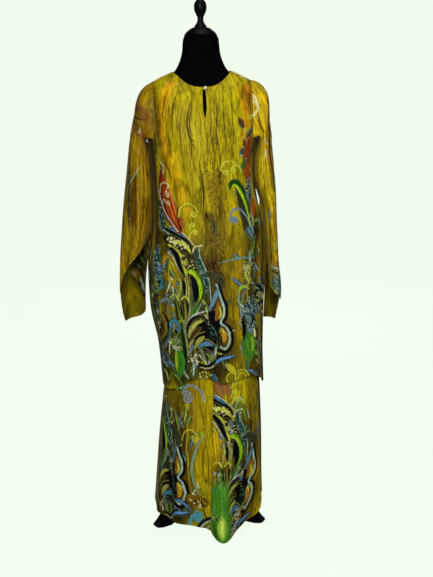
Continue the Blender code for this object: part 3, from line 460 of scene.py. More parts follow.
def arch(cloth):
    """The figure's head: a black arch under a blue band, a field of dots, and the gold within."""
    cloth.wash((-60, 150, 0, 130, 50, 90, 80, 20), 60, ink(40, 32, 8), 0.9)
    cloth.wash((-15, 70, -6, 40, 0, 0), 40, GOLD)
    cloth.leaves(((-48, 146, -20, 139, 6, 134, 30, 122, 50, 100), 42, DARK),
        ((-66, 178, -40, 172, -14, 163, 14, 153, 34, 141, 50, 125, 60, 106), 11, BLACK),
        ((-22, 175, -4, 172, 16, 162, 32, 148), 12, BLUE), ((-12, 172, 4, 168, 18, 160), 5, SKY))
    cloth.line((-19, 180, 2, 174, 22, 164, 44, 145, 60, 126), 2.4, CREAM)
    cloth.line((-20, 129, 0, 134, 22, 131, 42, 117, 56, 98), 13, LIME, "leaf", 0.75)
    cloth.beads(10, 130, 78, 26, 8, None, [CREAM, LIME, BLACK, CREAM], -18, 0.9, 3)
    cloth.dots([(-12, 143), (0, 131)], 10, CREAM)
    cloth.dots([(11, 138), (25, 137), (34, 127)], 6, CREAM)
    cloth.dots([(-18, 132), (-1, 144), (20, 126), (-28, 139)], 3.5, WHITE)
    cloth.line((-19, 122, 2, 112, 18, 101, 25, 84, 35, 56, 43, 36), 6.5, LIME, "even")
    cloth.line((-15, 117, 2, 107, 15, 96), 1.6, BLACK)
    cloth.beads(38, 74, 18, 60, 5.5, None, [BLACK, CREAM, BLACK, LIME], 22, 0.95, 4)
    cloth.line((-28, 113, -8, 110, 9, 93, 18, 74, 28, 50, 40, 30), 15, BLACK, "leaf")
    cloth.line((-20, 99, -4, 88, 8, 70, 16, 56, 24, 40), 4, ink(206, 200, 184), "tail")
    cloth.line((-14, 77, -4, 66, 6, 54), 7, LIME, "leaf", 0.8)
    cloth.curl(13, 27, 9, 60, -1.4, 3, ink(150, 132, 20), (22, 36, 19, 38))
    cloth.line((5, 22, 3, 14, 7, 7, 12, 9), 3, ink(170, 158, 34))
    cloth.dots([(-64, 186)], 9, ink(150, 150, 40))
    cloth.line((-60, 178, -42, 169, -20, 155), 3, PALE, "even", 0.8)


def leaf(cloth):
    """The long leaf: a hooked teal blade, a bright green crescent beside it, and its black heart."""
    cloth.wash((60, 70, 80, 20, 100, -40), 70, ink(24, 26, 8), 0.9)
    cloth.wash((120, 60, 140, 10, 140, -40), 50, ink(48, 24, 6), 0.85)
    cloth.line((60, 104, 62, 116, 68, 122, 77, 123, 87, 125), 3.2, CREAM)
    cloth.line((70, 118, 72, 98, 84, 72, 95, 45, 104, 4, 108, -50), 19, ink(30, 60, 48), "leaf")
    cloth.beads(91, 45, 22, 150, 5, None, [TEAL, PALE, ink(20, 44, 34), TEAL], 14, 0.9, 5)
    cloth.line((79, 120, 81, 95, 94, 68, 106, 38, 114, 0, 117, -48), 2, PALE)
    cloth.line((60, 84, 63, 70, 65, 54), 11, BLACK, "leaf")
    cloth.dots([(60, 76), (63, 66), (66, 56), (54, 62)], 4, CREAM)
    cloth.leaves(((56, 34, 68, 8, 72, -20, 68, -52), 24, BLACK), ((40, 41, 52, 46, 65, 42, 78, 27, 86, 5,
        86, -22, 80, -50), 15, LEAF_GREEN), ((60, 48, 76, 38, 88, 18, 94, -8, 93, -40), 4, ink(26, 66, 14)),
        ((48, 41, 62, 37, 73, 24, 79, 4), 3, LIME), ((30, 22, 36, 0, 38, -38), 12, BLACK))
    for stem in ((42, 36, 48, 10, 50, -20, 49, -50), (23, 22, 26, -2, 19, -36), (38, 24, 43, 2, 42, -30)):
        cloth.line(stem, 3.5, ink(172, 176, 92))
    cloth.line((-14, -42, -3, -31, 9, -30, 19, -43), 4, LIME, "even", 0.9)
    cloth.line((27, -41, 38, -32, 51, -43), 4, LIME, "even", 0.9)
    cloth.line((100, 44, 126, 30, 146, 8, 140, -18), 30, ink(20, 12, 8), "leaf", 0.85)


def petals(cloth):
    """The fan of petals inside its lobed border, with the hook that ends the border below."""
    cloth.wash((60, -90, 90, -150, 110, -230), 110, ink(18, 18, 8), 0.95)
    cloth.wash((30, -170, 40, -260), 50, ink(40, 44, 12), 0.85)
    cloth.wash((170, -120, 176, -220), 40, ink(70, 52, 10), 0.8)
    cloth.leaves(((112, -70, 124, -100, 112, -130, 130, -170), 52, BLACK),
        ((70, -100, 88, -150, 96, -210), 74, ink(14, 10, 8)))
    cloth.line((141, 2, 156, -40, 166, -62, 165, -92, 151, -113, 168, -126, 175, -151, 171, -182, 151, -205,
        124, -198), 9, BLACK)
    cloth.line((134, 4, 147, -38, 156, -60, 156, -88, 143, -112, 158, -127, 165, -151, 161, -177, 147, -194,
        133, -187), 5.5, PALE)
    cloth.leaves(((137, -2, 133, -22, 122, -52, 108, -72), 10, ink(82, 140, 172)),
        ((137, -46, 140, -74, 128, -106), 15, ink(150, 96, 16)), ((140, -60, 147, -84, 138, -102), 5, LIME),
        ((138, -130, 149, -150, 144, -176), 16, ink(186, 134, 20)), ((143, -128, 153, -148), 5, LIME))
    cloth.dots([(105, -84), (106, -92), (105, -100), (106, -108), (104, -116)], 2.6, CREAM)
    cloth.curl(112, -142, 15, 120, -0.9, 3, TEAL)
    cloth.beads(114, -150, 24, 26, 5, None, [ink(30, 66, 60), BLACK, TEAL], 0, 0.7, 6)
    cloth.leaves(((28, -146, 38, -114, 57, -92, 86, -79, 116, -73), 3, WHITE),
        ((34, -152, 39, -125, 57, -102, 84, -91, 98, -96), 10, BLACK),
        ((37, -160, 49, -134, 68, -113, 92, -104), 12, ink(176, 176, 76)),
        ((42, -171, 58, -143, 84, -124), 13, ink(72, 48, 14)))
    cloth.line((41, -179, 60, -152, 90, -138), 1.8, ink(176, 166, 84))
    cloth.leaves(((52, -193, 67, -169, 88, -152), 12, ink(158, 166, 58)),
        ((62, -191, 79, -179, 96, -175, 111, -185), 10, ink(72, 124, 176)),
        ((70, -190, 84, -184, 100, -182), 4, ink(60, 120, 80)))
    cloth.line((66, -170, 88, -163, 104, -168, 121, -188), 1.8, ink(160, 164, 90))
    for k, shade in enumerate((ink(120, 120, 92), ink(96, 104, 78), ink(130, 126, 70))):
        cloth.line([(58 + 5 * k, -204 - 9 * k), (84 + 3 * k, -192 - 8 * k), (105 + 2 * k, -205 - 9 * k),
            (116 - k, -224 - 6 * k)], 2, shade)
    cloth.dots([(75, -237)], 15, ink(124, 140, 24))
    cloth.line((90, -206, 99, -220, 107, -234), 9, ink(104, 134, 30), "leaf")
    cloth.line((66, -245, 94, -246, 113, -232, 137, -214), 9, BLACK)
    cloth.line((66, -252, 96, -252, 116, -238, 140, -219), 2.2, CREAM)
    cloth.beads(50, -226, 24, 44, 6, None, [ink(150, 140, 72), DARK, CREAM], 10, 0.8, 7)
    cloth.leaves(((108, -243, 130, -228, 153, -225, 178, -221), 12, BLACK),
        ((110, -241, 130, -226, 153, -222, 178, -218), 8.5, SKY))
    cloth.beads(79, -277, 46, 36, 7, ink(64, 56, 8), [LIME, CREAM, ink(150, 140, 20)], 0, 0.9, 8)
    cloth.line((100, -268, 107, -284, 112, -300), 11, BLUE, "leaf")


def eye(cloth):
    """The side of the figure: stems, the blue-lidded eye, the green blade and the beaded cluster."""
    for points, width, colour in (((11, -40, 20, -87, 25, -124), 6, ink(96, 132, 32)),
            ((25, -50, 27, -96), 7, BLACK), ((36, -40, 39, -87, 30, -122), 5, ink(140, 136, 56)),
            ((47, -50, 46, -90), 6, BLACK), ((55, -42, 50, -80, 40, -112), 4.5, ink(150, 150, 74)),
            ((80, -40, 65, -78, 48, -106), 12, ink(62, 112, 22)), ((93, -42, 72, -82, 48, -116), 3, PALE),
            ((104, -50, 84, -80, 62, -98), 7, BLACK), ((20, -110, 22, -200, 22, -272), 13, ink(12, 40, 12)),
            ((30, -120, 31, -200, 42, -236), 4, ink(150, 142, 80))):
        cloth.line(points, width, colour, "leaf")
    cloth.wash((20, -60, 26, -160, 20, -270), 44, ink(26, 38, 8), 0.9)
    cloth.wash((-70, 90, -76, 0, -80, -110, -60, -240), 56, ink(36, 44, 18), 0.9)
    cloth.wash((-9, -70, -9, -105), 24, GOLD)
    cloth.line((-22, -60, -24, -90, -22, -118), 8, ink(140, 80, 12), "leaf", 0.8)
    cloth.dots([(-3, -63)], 11, ink(150, 182, 176))
    cloth.dots([(-4, -146)], 24, ink(120, 150, 60))
    cloth.line((-24, -142, -21, -126, -12, -115, 1, -111, 14, -121, 17, -137), 11, ink(76, 150, 170),
        "leaf")
    cloth.dots([(-3, -145)], 14, BLACK)
    cloth.dots([(1, -143)], 6, ink(40, 70, 130))
    cloth.beads(-3, -175, 36, 40, 7, ink(92, 116, 60), [WHITE, ink(160, 200, 90), ink(70, 96, 60)], 0, 0.9, 9)
    cloth.leaves(((-4, -194, -2, -238, -9, -296), 40, ink(60, 146, 34)),
        ((-14, -204, -16, -240, -18, -276), 15, ink(164, 200, 40), 0.9))
    for points in ((-30, -195, -12, -197, 6, -193), (-24, -201, -8, -208), (-12, -197, 4, -206)):
        cloth.line(points, 3.4, WHITE, "leaf")
    for k, shade in enumerate((ink(178, 170, 86), BLACK, ink(96, 58, 20), ink(150, 150, 60), BLACK)):
        reach = 22 + 9 * k
        turn = np.radians(np.linspace(-75, 60, 9))
        cloth.line(np.stack([-86 + reach * np.cos(turn), -124 + reach * np.sin(turn)], -1), 5, shade, "leaf")
    cloth.beads(-62, 73, 40, 96, 5.5, ink(36, 66, 52), [WHITE, ink(100, 160, 150), ink(110, 150, 196),
        BLACK, PALE], 4, 0.9, 10)
    cloth.line((-88, 150, -85, 70, -81, -10, -84, -60), 4.5, ink(156, 150, 84), "leaf")
    cloth.dots([(-84, 100)], 10, CREAM)
    cloth.dots([(-84, 99)], 5, BLACK)
    turn = np.radians(np.linspace(-100, 110, 13))
    cloth.line(np.stack([-63 + 20 * np.cos(turn), 6 + 24 * np.sin(turn)], -1), 11, ink(66, 130, 140), "leaf")
    cloth.beads(-68, 10, 26, 30, 6, ink(110, 130, 70), [CREAM, PALE, LEAF_GREEN], 0, 0.9, 11)
    cloth.dots([(-52, 10)], 14, BLACK)
    cloth.leaves(((-86, -12, -66, -20, -46, -14), 6, ink(110, 160, 50)),
        ((-84, -24, -64, -33, -42, -26), 5, BLACK))


def print_figure(cloth, across, up, parts=(eye, arch, leaf, petals)):
    """One repeat of the figure, its middle at that place on the bolt."""
    for part in parts:
        part(cloth.moved(across, up))


def streaks(cloth, low, high, spacing, seed, strength=0.55):
    """Thin brown veins that run down the cloth, each wandering by a sum of two sines."""
    for k in range(int((high[0] - low[0]) / spacing)):
        chance = [abs(math.modf(math.sin(k * 91.7 + seed * 13.1 + n * 47.3) * 9631.7)[0]) for n in range(5)]
        x = low[0] + (k + chance[0]) * spacing
        top = high[1] - (high[1] - low[1]) * 0.45 * chance[1]
        foot = low[1] + (high[1] - low[1]) * 0.35 * chance[2]
        y = np.linspace(top, foot, 9)
        sway = 5 * np.sin(y / (38 + 30 * chance[3]) + 6 * chance[4]) + 2.5 * np.sin(y / 15 + k)
        colour = (BROWN, ink(122, 88, 6), ink(206, 178, 34), ink(104, 84, 8))[int(chance[3] * 3.99)]
        cloth.line(np.stack([x + sway, y], -1), 1.8 + 2.6 * chance[4], colour, "leaf", strength)


def thicket(cloth, x, y, wide, tall, count, seed, dark=0.88):
    """A tangle of fine bent stems and curls over a dark ground: the foot, lean, bend, length and
    ink of each come from its own number."""
    cloth.wash([(x, y + tall / 2 - wide / 3), (x + 4, y), (x, y - tall / 2 + wide / 3)], wide,
        ink(20, 18, 8), dark)
    inks = (PALE, CREAM, LIME, SKY, TEAL, ink(150, 150, 74), LEAF_GREEN, ink(112, 150, 176))
    for k in range(count):
        chance = [abs(math.modf(math.sin(k * 57.3 + seed * 29.9 + n * 31.7) * 7919.3)[0]) for n in range(6)]
        foot = np.array((x + wide * (chance[0] - 0.5) * 1.15, y + tall * (chance[1] - 0.55)))
        angle = np.radians(50 + 80 * chance[3]) + (chance[4] - 0.5) * 2.2 * np.linspace(0, 1, 6)
        length = 26 + 46 * chance[2]
        stem = foot + length / 6 * np.cumsum(np.stack([np.cos(angle), np.sin(angle)], -1), axis=0)
        colour = inks[int(chance[5] * 7.99)]
        cloth.leaves((stem, 7 + 5 * chance[1], BLACK, 0.8), (stem, 2.6 + 3 * chance[4], colour))
        if k % 3 == 0:
            cloth.curl(*stem[-1], 5 + 4 * chance[0], 90 + 60 * chance[2], 1.1 if k % 2 else -1.1, 2.2, colour)


def satin():
    """The printed satin: the ground colour broken by long streaks, darker veins and fine flecks,
    the figure laid over it, a fine weave, and a row of stitches beside each finished edge."""
    material, tree, shader, node, ramp = shader_nodes("printed_satin_cloth")
    on_bolt = node("UVMap", uv_map="bolt").outputs["UV"]

    def noise(across, along, detail, twist=0.0):
        place = node("Mapping", {"Vector": on_bolt, "Scale": (across, along, 1)}).outputs["Vector"]
        return node("TexNoise", {"Vector": place, "Scale": 1.0, "Detail": detail, "Roughness": 0.62,
            "Distortion": twist}, noise_dimensions="2D").outputs["Fac"]

    def mixed(kind, factor, first, second):
        return node("MixRGB", {"Fac": factor, "Color1": first, "Color2": second},
            blend_type=kind).outputs["Color"]

    ground = node("Attribute", attribute_name="ground")
    figure = node("Attribute", attribute_name="figure")
    streak = noise(90, 14, 6.0, 1.4)
    band = noise(26, 7.0, 4.0, 1.2)
    fleck = noise(420, 210, 2.0)
    tone = mixed("MULTIPLY", 1.0, ramp(streak, (0.30, 0.34), (0.50, 0.92), (0.72, 1.32)),
        ramp(band, (0.32, 0.46), (0.48, 0.95), (0.70, 1.18)))
    vein = ramp(noise(46, 7, 4.0, 2.2), (0.484, 0.0), (0.497, 0.85), (0.503, 0.85), (0.516, 0.0))
    coloured = mixed("MULTIPLY", 1.0, ground.outputs["Color"], tone)
    coloured = mixed("MIX", vein, coloured, (*ink(70, 50, 4), 1))
    coloured = mixed("MIX", ramp(fleck, (0.62, 0.0), (0.74, 0.35)), coloured, (*ink(214, 190, 60), 1))
    grain = noise(330, 260, 3.0, 0.4)
    worn = mixed("MULTIPLY", 1.0, ramp(streak, (0.30, 0.55), (0.72, 1.15)),
        ramp(grain, (0.36, 0.45), (0.60, 1.08)))
    inked = mixed("MULTIPLY", 1.0, figure.outputs["Color"], worn)
    keep = node("Math", {0: 1.0, 1: figure.outputs["Alpha"]}, operation="SUBTRACT").outputs["Value"]
    kept = mixed("MULTIPLY", 1.0, coloured, keep)
    tree.links.new(mixed("ADD", 1.0, kept, inked), shader.inputs["Base Color"])
    tree.links.new(ramp(streak, (0.3, 0.50), (0.7, 0.38)), shader.inputs["Roughness"])
    shader.inputs["Specular IOR Level"].default_value = 0.03
    shader.inputs["Sheen Weight"].default_value = 0.02
    shader.inputs["Sheen Roughness"].default_value = 0.4

    edge = node("Attribute", attribute_name="edge").outputs["Fac"]
    hem = ramp(edge, (0.0, 1.0), (0.145, 1.0), (0.165, 0.0))
    stitch_row = ramp(edge, (0.120, 0.0), (0.128, 1.0), (0.136, 0.0))
    along = node("SeparateXYZ", {"Vector": on_bolt})
    walk = node("Math", {0: along.outputs["X"], 1: along.outputs["Y"]}, operation="ADD").outputs["Value"]
    dash = node("Math", {0: walk, 1: 0.0016}, operation="PINGPONG").outputs["Value"]
    dash = node("Math", {0: dash, 1: 0.0006}, operation="GREATER_THAN").outputs["Value"]
    sewn = node("Math", {0: stitch_row, 1: dash}, operation="MULTIPLY").outputs["Value"]
    warp = node("TexWave", {"Vector": node("Mapping", {"Vector": on_bolt,
        "Scale": (1400, 1400, 1)}).outputs["Vector"], "Scale": 1.0, "Distortion": 1.0, "Detail": 1.0},
        bands_direction="DIAGONAL")
    crumple = noise(46, 30, 4.0, 0.4)
    rise = node("Math", {0: crumple, 1: 0.9}, operation="MULTIPLY").outputs["Value"]
    for part, share in ((warp.outputs["Fac"], 0.03), (streak, 0.10), (hem, 0.18), (sewn, -0.25)):
        scaled = node("Math", {0: part, 1: share}, operation="MULTIPLY").outputs["Value"]
        rise = node("Math", {0: rise, 1: scaled}, operation="ADD").outputs["Value"]
    bump = node("Bump", {"Height": rise, "Strength": 0.55, "Distance": 0.0016})
    tree.links.new(bump.outputs["Normal"], shader.inputs["Normal"])
    return material


def ease(x):
    """0 to 1 with level ends."""
    x = np.clip(x, 0, 1)
    return x * x * (3 - 2 * x)


def angle_between(a, b):
    """The signed turn from b to a, within half a turn."""
    return (a - b + 180) % 360 - 180


def by_angle(table, degrees):
    """A value given round a ring, at the angles asked for."""
    angles, values = zip(*table)
    return smooth_curve(degrees, angles, values)


def folds_out(table, degrees, z):
    """How far the lengthwise folds stand out here: a bell across each, growing down to its depth."""
    out = np.zeros(np.broadcast(degrees, z).shape)
    for place, width, depth, start_z, full_z in table:
        out += (depth * ease((start_z - z) / (start_z - full_z)) * np.exp(-(angle_between(degrees, place)
            / width) ** 2))
    return out


def creased(across, up, creases):
    """How far soft creases stand out: each follows a line on the bolt, a bell across it whose
    depth is a half sine along it. Millimetres in, metres out."""
    flat = Cloth(across, up)
    out = np.zeros(across.size)
    for points, width, depth in creases:
        spine = through(np.reshape(points, (-1, 2)))
        spots = flat.inside(spine.min(axis=0) - 2 * width, spine.max(axis=0) + 2 * width)
        at = np.stack([flat.across[spots], flat.up[spots]], axis=-1)[:, None]
        start, run = spine[None, :-1], np.diff(spine, axis=0)[None]
        t = np.clip(((at - start) * run).sum(-1) / (run ** 2).sum(-1), 0, 1)
        off = np.hypot(*np.moveaxis(at - start - t[..., None] * run, -1, 0))
        nearest = off.argmin(axis=1)
        rows = np.arange(len(spots))
        along = (nearest + t[rows, nearest]) / run.shape[1]
        out[spots] += (depth / 1000 * np.sin(math.pi * np.clip(along, 0, 1)) ** 0.8
            * np.exp(-(off[rows, nearest] / width) ** 2))
    return out.reshape(across.shape)


def run_of(points):
    """The distance run along each row of a grid, from its first column."""
    steps = np.linalg.norm(np.diff(points, axis=1), axis=-1)
    return np.concatenate([np.zeros((len(points), 1)), np.cumsum(steps, axis=1)], axis=1)


def facing(points, sign):
    """Unit normals of a grid, from the cross product of its two central differences."""
    normal = sign * np.cross(np.gradient(points, axis=0), np.gradient(points, axis=1))
    length = np.linalg.norm(normal, axis=-1, keepdims=True)
    return normal / np.maximum(length, 1e-12)


def cut_piece(name, face, sign, cloth, edge, slit=None, closed_from=None):
    """A cut piece: its face, a coarser wrong side one cloth's thickness in, and rims between them.

    face is a grid of points, one row across the piece for each step down it; sign is 1 where
    down crossed with across looks out of it. edge is each point's distance from a finished edge.
    slit is a column, the row where the slit ends, and the slit's other lip down to there. From
    the row closed_from down, the first and last columns are sewn into one.
    """
    rows, columns = face.shape[:2]
    small = slice(None, None, COARSE)
    under = (face - CLOTH * facing(face, sign))[small, small]
    top_id = np.arange(rows * columns).reshape(rows, columns)
    under_id = top_id.size + np.arange(under.size // 3).reshape(under.shape[:2])
    spots = [face.reshape(-1, 3), under.reshape(-1, 3)]
    source = [top_id.ravel(), top_id[small, small].ravel()]
    weld = np.arange(top_id.size + under_id.size)
    patches = [(top_id, under_id)]
    lips = []
    if slit:
        split, foot, lip = slit
        other_top, other_under = top_id.copy(), under_id.copy()
        other_top[:foot, split] = len(weld) + np.arange(foot)
        other_under[:foot // COARSE, split // COARSE] = len(weld) + foot + np.arange(foot // COARSE)
        weld = np.arange(len(weld) + foot + foot // COARSE)
        spots += [lip[:foot], lip[:foot:COARSE] - CLOTH * facing(face, sign)[:foot:COARSE, split]]
        source += [top_id[:foot, split], top_id[:foot:COARSE, split]]
        half = split // COARSE
        patches = [(top_id[:, :split + 1], under_id[:, :half + 1]), (other_top[:, split:],
            other_under[:, half:])]
        lips = [(top_id[:foot + 1, split], under_id[:foot // COARSE + 1, half], False),
            (other_top[:foot + 1, split], other_under[:foot // COARSE + 1, half], True)]
    if closed_from is not None:
        weld[top_id[closed_from:, -1]] = top_id[closed_from:, 0]
        weld[under_id[closed_from // COARSE:, -1]] = under_id[closed_from // COARSE:, 0]

    def quads(index, turn):
        corners = [index[:-1, :-1], index[1:, :-1], index[1:, 1:], index[:-1, 1:]]
        return np.stack(corners[::-1] if turn else corners, -1).reshape(-1, 4)

    def rim(top, low, turn):
        corners = [top[k:len(top) - COARSE + k:COARSE] for k in range(COARSE + 1)] + [low[1:], low[:-1]]
        return np.stack(corners[::-1] if turn else corners, -1)

    over = sign < 0
    faces = []
    for top, low in patches:
        faces += [quads(top, over), quads(low, not over)]
        faces += [rim(top[0], low[0], over), rim(top[-1], low[-1], not over)]
    last = rows - 1 if closed_from is None else closed_from
    down, down_low = slice(0, last + 1), slice(0, last // COARSE + 1)
    lips += [(top_id[down, 0], under_id[down_low, 0], True), (top_id[down, -1], under_id[down_low, -1],
        False)]
    faces += [rim(top, low, turn != over) for top, low, turn in lips if len(top) > COARSE]
    corners = np.concatenate([part.ravel() for part in faces])
    used, number = np.unique(weld[corners], return_inverse=True)
    counts = np.concatenate([np.full(len(part), part.shape[1]) for part in faces])
    groups = np.split(number, np.cumsum(counts)[:-1])
    piece = new_piece(name, np.vstack(spots)[used] + STAND, [group.tolist() for group in groups], 60)
    of_corner = np.concatenate(source)[corners]
    mesh = piece.data
    bolt = np.stack([cloth.across, cloth.up], axis=-1)[of_corner] / 1000
    mesh.uv_layers.new(name="bolt").data.foreach_set("uv", bolt.ravel())
    wrong = (corners >= top_id.size) & (corners < top_id.size + under_id.size)
    figure = cloth.figure[of_corner] * np.where(wrong, 0.7, 1.0)[:, None]
    ground = cloth.ground[of_corner] * np.where(wrong, WRONG_SIDE, 1.0)[:, None]
    for layer, values in (("ground", np.hstack([ground, np.ones((len(corners), 1))])), ("figure", figure)):
        mesh.attributes.new(layer, "FLOAT_COLOR", "CORNER").data.foreach_set("color", values.ravel())
    mesh.attributes.new("edge", "FLOAT", "CORNER").data.foreach_set("value",
        (10 * np.broadcast_to(edge, (rows, columns)).ravel())[of_corner])
    return piece


def cut_size(face, pointed):
    """A grid's greatest width, measured level or along its top, its greatest length (down its
    middle where it is pointed), and its area: half the cross products of its cells."""
    across = max(run_of(face * (1, 1, 0))[:, -1].max(), run_of(face[:1])[0, -1])
    lengths = run_of(face.transpose(1, 0, 2))[:, -1]
    down = lengths[len(lengths) // 2] if pointed else lengths.max()
    cells = np.cross(face[1:, 1:] - face[:-1, :-1], face[1:, :-1] - face[:-1, 1:])
    return float(across), float(down), float(np.linalg.norm(cells, axis=-1).sum() / 2)


def sew_in(piece, face, node, pointed=False):
    """Gives a cut piece its satin and its body, hides the solid that it stands for, and measures its flat
    size, which nothing uses.
    """
    hand_in(piece, printed_satin, "printed_satin", node)
    width, length, area = cut_size(face, pointed)


printed_satin = satin()


# ---- skirt
# The long sarong skirt: a front with one deep pleat left of the middle, whose loose side stands
# out at the hem, a plain back, and a waistband. It hangs from the waist inside the tunic.
SKIRT_COLUMNS = ("z", "left", "right", "front", "back")
SKIRT_ROWS = (
    (1.0280, -0.1330, 0.1330, 0.107, 0.097), (0.9500, -0.1480, 0.1500, 0.119, 0.110),
    (0.8500, -0.1620, 0.1660, 0.127, 0.121), (0.7300, -0.1590, 0.1680, 0.132, 0.127),
    (0.6200, -0.1400, 0.1690, 0.138, 0.128), (0.5000, -0.1300, 0.1740, 0.142, 0.129),
    (0.4230, -0.1390, 0.1780, 0.149, 0.133), (0.2900, -0.1530, 0.1820, 0.170, 0.145),
    (0.1500, -0.1630, 0.1830, 0.190, 0.156), (0.0400, -0.1720, 0.1850, 0.205, 0.165),
)
SKIRT_SQUARENESS = 2.1
SKIRT_HEM = ((-180, 0.058), (-150, 0.050), (-90, 0.047), (-60, 0.049), (-30, 0.048), (-8, 0.045),
    (-4, 0.038), (-1, 0.026), (3, 0.014), (7, 0.010), (12, 0.014), (20, 0.028), (30, 0.041), (44, 0.049),
    (52, 0.062), (60, 0.088), (75, 0.085), (90, 0.068), (120, 0.058), (180, 0.058))
SKIRT_FOLDS = (
    (-66, 8, 0.0070, 0.50, 0.10), (-50, 6, -0.0050, 0.46, 0.10), (-36, 7, 0.0060, 0.47, 0.10),
    (-20, 6, -0.0045, 0.46, 0.10), (36, 8, -0.0070, 0.46, 0.10), (54, 8, 0.0070, 0.50, 0.10),
    (74, 7, -0.0060, 0.46, 0.10), (105, 9, 0.0080, 0.48, 0.10), (130, 8, -0.0070, 0.46, 0.10),
    (155, 9, 0.0080, 0.50, 0.10), (180, 9, -0.0070, 0.46, 0.10), (-154, 9, 0.0080, 0.48, 0.10),
    (-128, 9, -0.0070, 0.46, 0.10), (-104, 9, 0.0070, 0.50, 0.10),
)
SKIRT_TOP_Z = 1.028
SKIRT_FOOT = 0.04        # the table's last height, which the hem's own height stands for
SKIRT_FREE_Z = 0.14      # below this height the rows run to the hem
SEAM_TURN = 0.1          # half a seam's gap, in degrees round the body
PLEAT_X = -0.012
PLEAT_WIDTH = 0.034
PLEAT_STEP = 0.0050
PLEAT_BULGE = 0.038
BULGE_PLACE = 0.034
BULGE_HALF_WIDTH = 0.036
BAND_HEIGHT = 0.036
OTHER_END = 2000         # the pleat's outer part is printed from this far along the bolt


def skirt(degrees, height, out=0.0):
    """The skirt's face: degrees round it from the middle front, moved out along the radius."""
    heights = column(SKIRT_ROWS, SKIRT_COLUMNS, "z")[::-1]
    get = {name: smooth_curve(height, heights, column(SKIRT_ROWS, SKIRT_COLUMNS, name)[::-1])
        for name in SKIRT_COLUMNS[1:]}
    s, c = np.sin(np.radians(degrees)), np.cos(np.radians(degrees))
    free = np.clip((SKIRT_FREE_Z - height) / (SKIRT_FREE_Z - SKIRT_FOOT), 0, 1)
    hem = by_angle(SKIRT_HEM, angle_between(degrees, 0))
    z = np.where(free > 0, SKIRT_FREE_Z + (hem - SKIRT_FREE_Z) * free, height)
    half = (get["right"] - get["left"]) / 2
    radius = ring_radius(s, c, half, np.where(c >= 0, get["front"], get["back"]), SKIRT_SQUARENESS)
    radius = radius + folds_out(SKIRT_FOLDS, degrees, z) + out
    middle = (get["right"] + get["left"]) / 2
    return np.stack([middle + radius * s, -radius * c, z], axis=-1)


def skirt_front_grid(heights):
    """The front's points, and where its pleat comes forward again: a smooth line through the
    pleat's three layers, laid round the body, with the loose side's bulge growing to the hem."""
    step, width = PLEAT_STEP, PLEAT_WIDTH
    knots = [(0, 0), (step / 2, -step / 2), (0, -step), (-width / 2, -step), (-width, -step),
        (-width - step / 2, -1.5 * step), (-width, -2 * step), (-width / 2, -2 * step), (0, -1.9 * step),
        (0.009, -1.4 * step), (0.019, -0.6 * step), (0.031, 0), (0.044, 0)]
    path = through(knots, 6)[1:]
    forward = 8 * 6 - 1
    edge = math.degrees(math.asin(PLEAT_X / 0.18))
    left = np.linspace(-90, edge, 113)
    grid = []
    for height in heights:
        per_metre = math.degrees(1 / np.linalg.norm(skirt(np.array(edge), np.array(height))[:2]))
        folded = edge + path[:, 0] * per_metre
        right = np.linspace(folded[-1], 90, 81)[1:]
        around = np.concatenate([left, folded, right])
        out = np.concatenate([np.zeros(len(left)), path[:, 1], np.zeros(len(right))])
        past = np.maximum(around - edge, 0) / per_metre
        loose = ease((np.arange(len(around)) - len(left) - forward + 2) / 8)
        stand = PLEAT_BULGE * ease((0.34 - height) / 0.30) * loose
        out += stand * np.exp(-((past - BULGE_PLACE) / BULGE_HALF_WIDTH) ** 2)
        around[0] += SEAM_TURN
        around[-1] -= SEAM_TURN
        grid.append(skirt(around, np.full(len(around), height), out))
    return np.array(grid), len(left) - 1, len(left) + forward


def middle_run(face, middle):
    """How far each point lies across the piece from the column that is its middle."""
    run = run_of(face)
    return run - run[:, middle:middle + 1]


SKIRT_CREASES = (
    ((-120, 480, -112, 300, -118, 90), 9, 2.5), ((-84, 440, -92, 260, -88, 70), 10, -2.5),
    ((-40, 470, -46, 300, -40, 120), 8, 2.0), ((70, 460, 84, 300, 92, 110), 9, -3.0),
    ((110, 450, 118, 300, 126, 120), 10, 3.0), ((150, 470, 152, 320, 160, 120), 9, -2.5),
    ((30, 250, 46, 150, 52, 50), 9, 3.0), ((10, 200, 24, 120, 20, 40), 7, -2.5),
    ((-150, 420, -140, 240, -150, 80), 9, -2.5), ((60, 200, 80, 130, 84, 60), 8, -2.5),
)
skirt_heights = np.concatenate([np.linspace(SKIRT_TOP_Z, 0.56, 61), np.linspace(0.56, SKIRT_FOOT, 237)[1:]])
front_face, fold_column, forward_column = skirt_front_grid(skirt_heights)
front_across = middle_run(front_face, fold_column)
edge_arc = front_face[:, fold_column, 0] + 0.001
front_across = front_across + edge_arc[:, None]
forward_gap = front_across[:, forward_column] - front_face[:, forward_column, 0]
is_forward = np.arange(front_face.shape[1]) >= forward_column - 8
front_across = np.where(is_forward, front_across - forward_gap[:, None], front_across - OTHER_END / 1000)
front_up = front_face[..., 2]
skirt_cloth = Cloth(front_across, front_up)
shift = np.where(is_forward, 0, OTHER_END / 1000)
front_face += (creased(front_across + shift, front_up, SKIRT_CREASES)[..., None] * facing(front_face, 1)
    * ease((0.62 - front_up) / 0.15)[..., None])

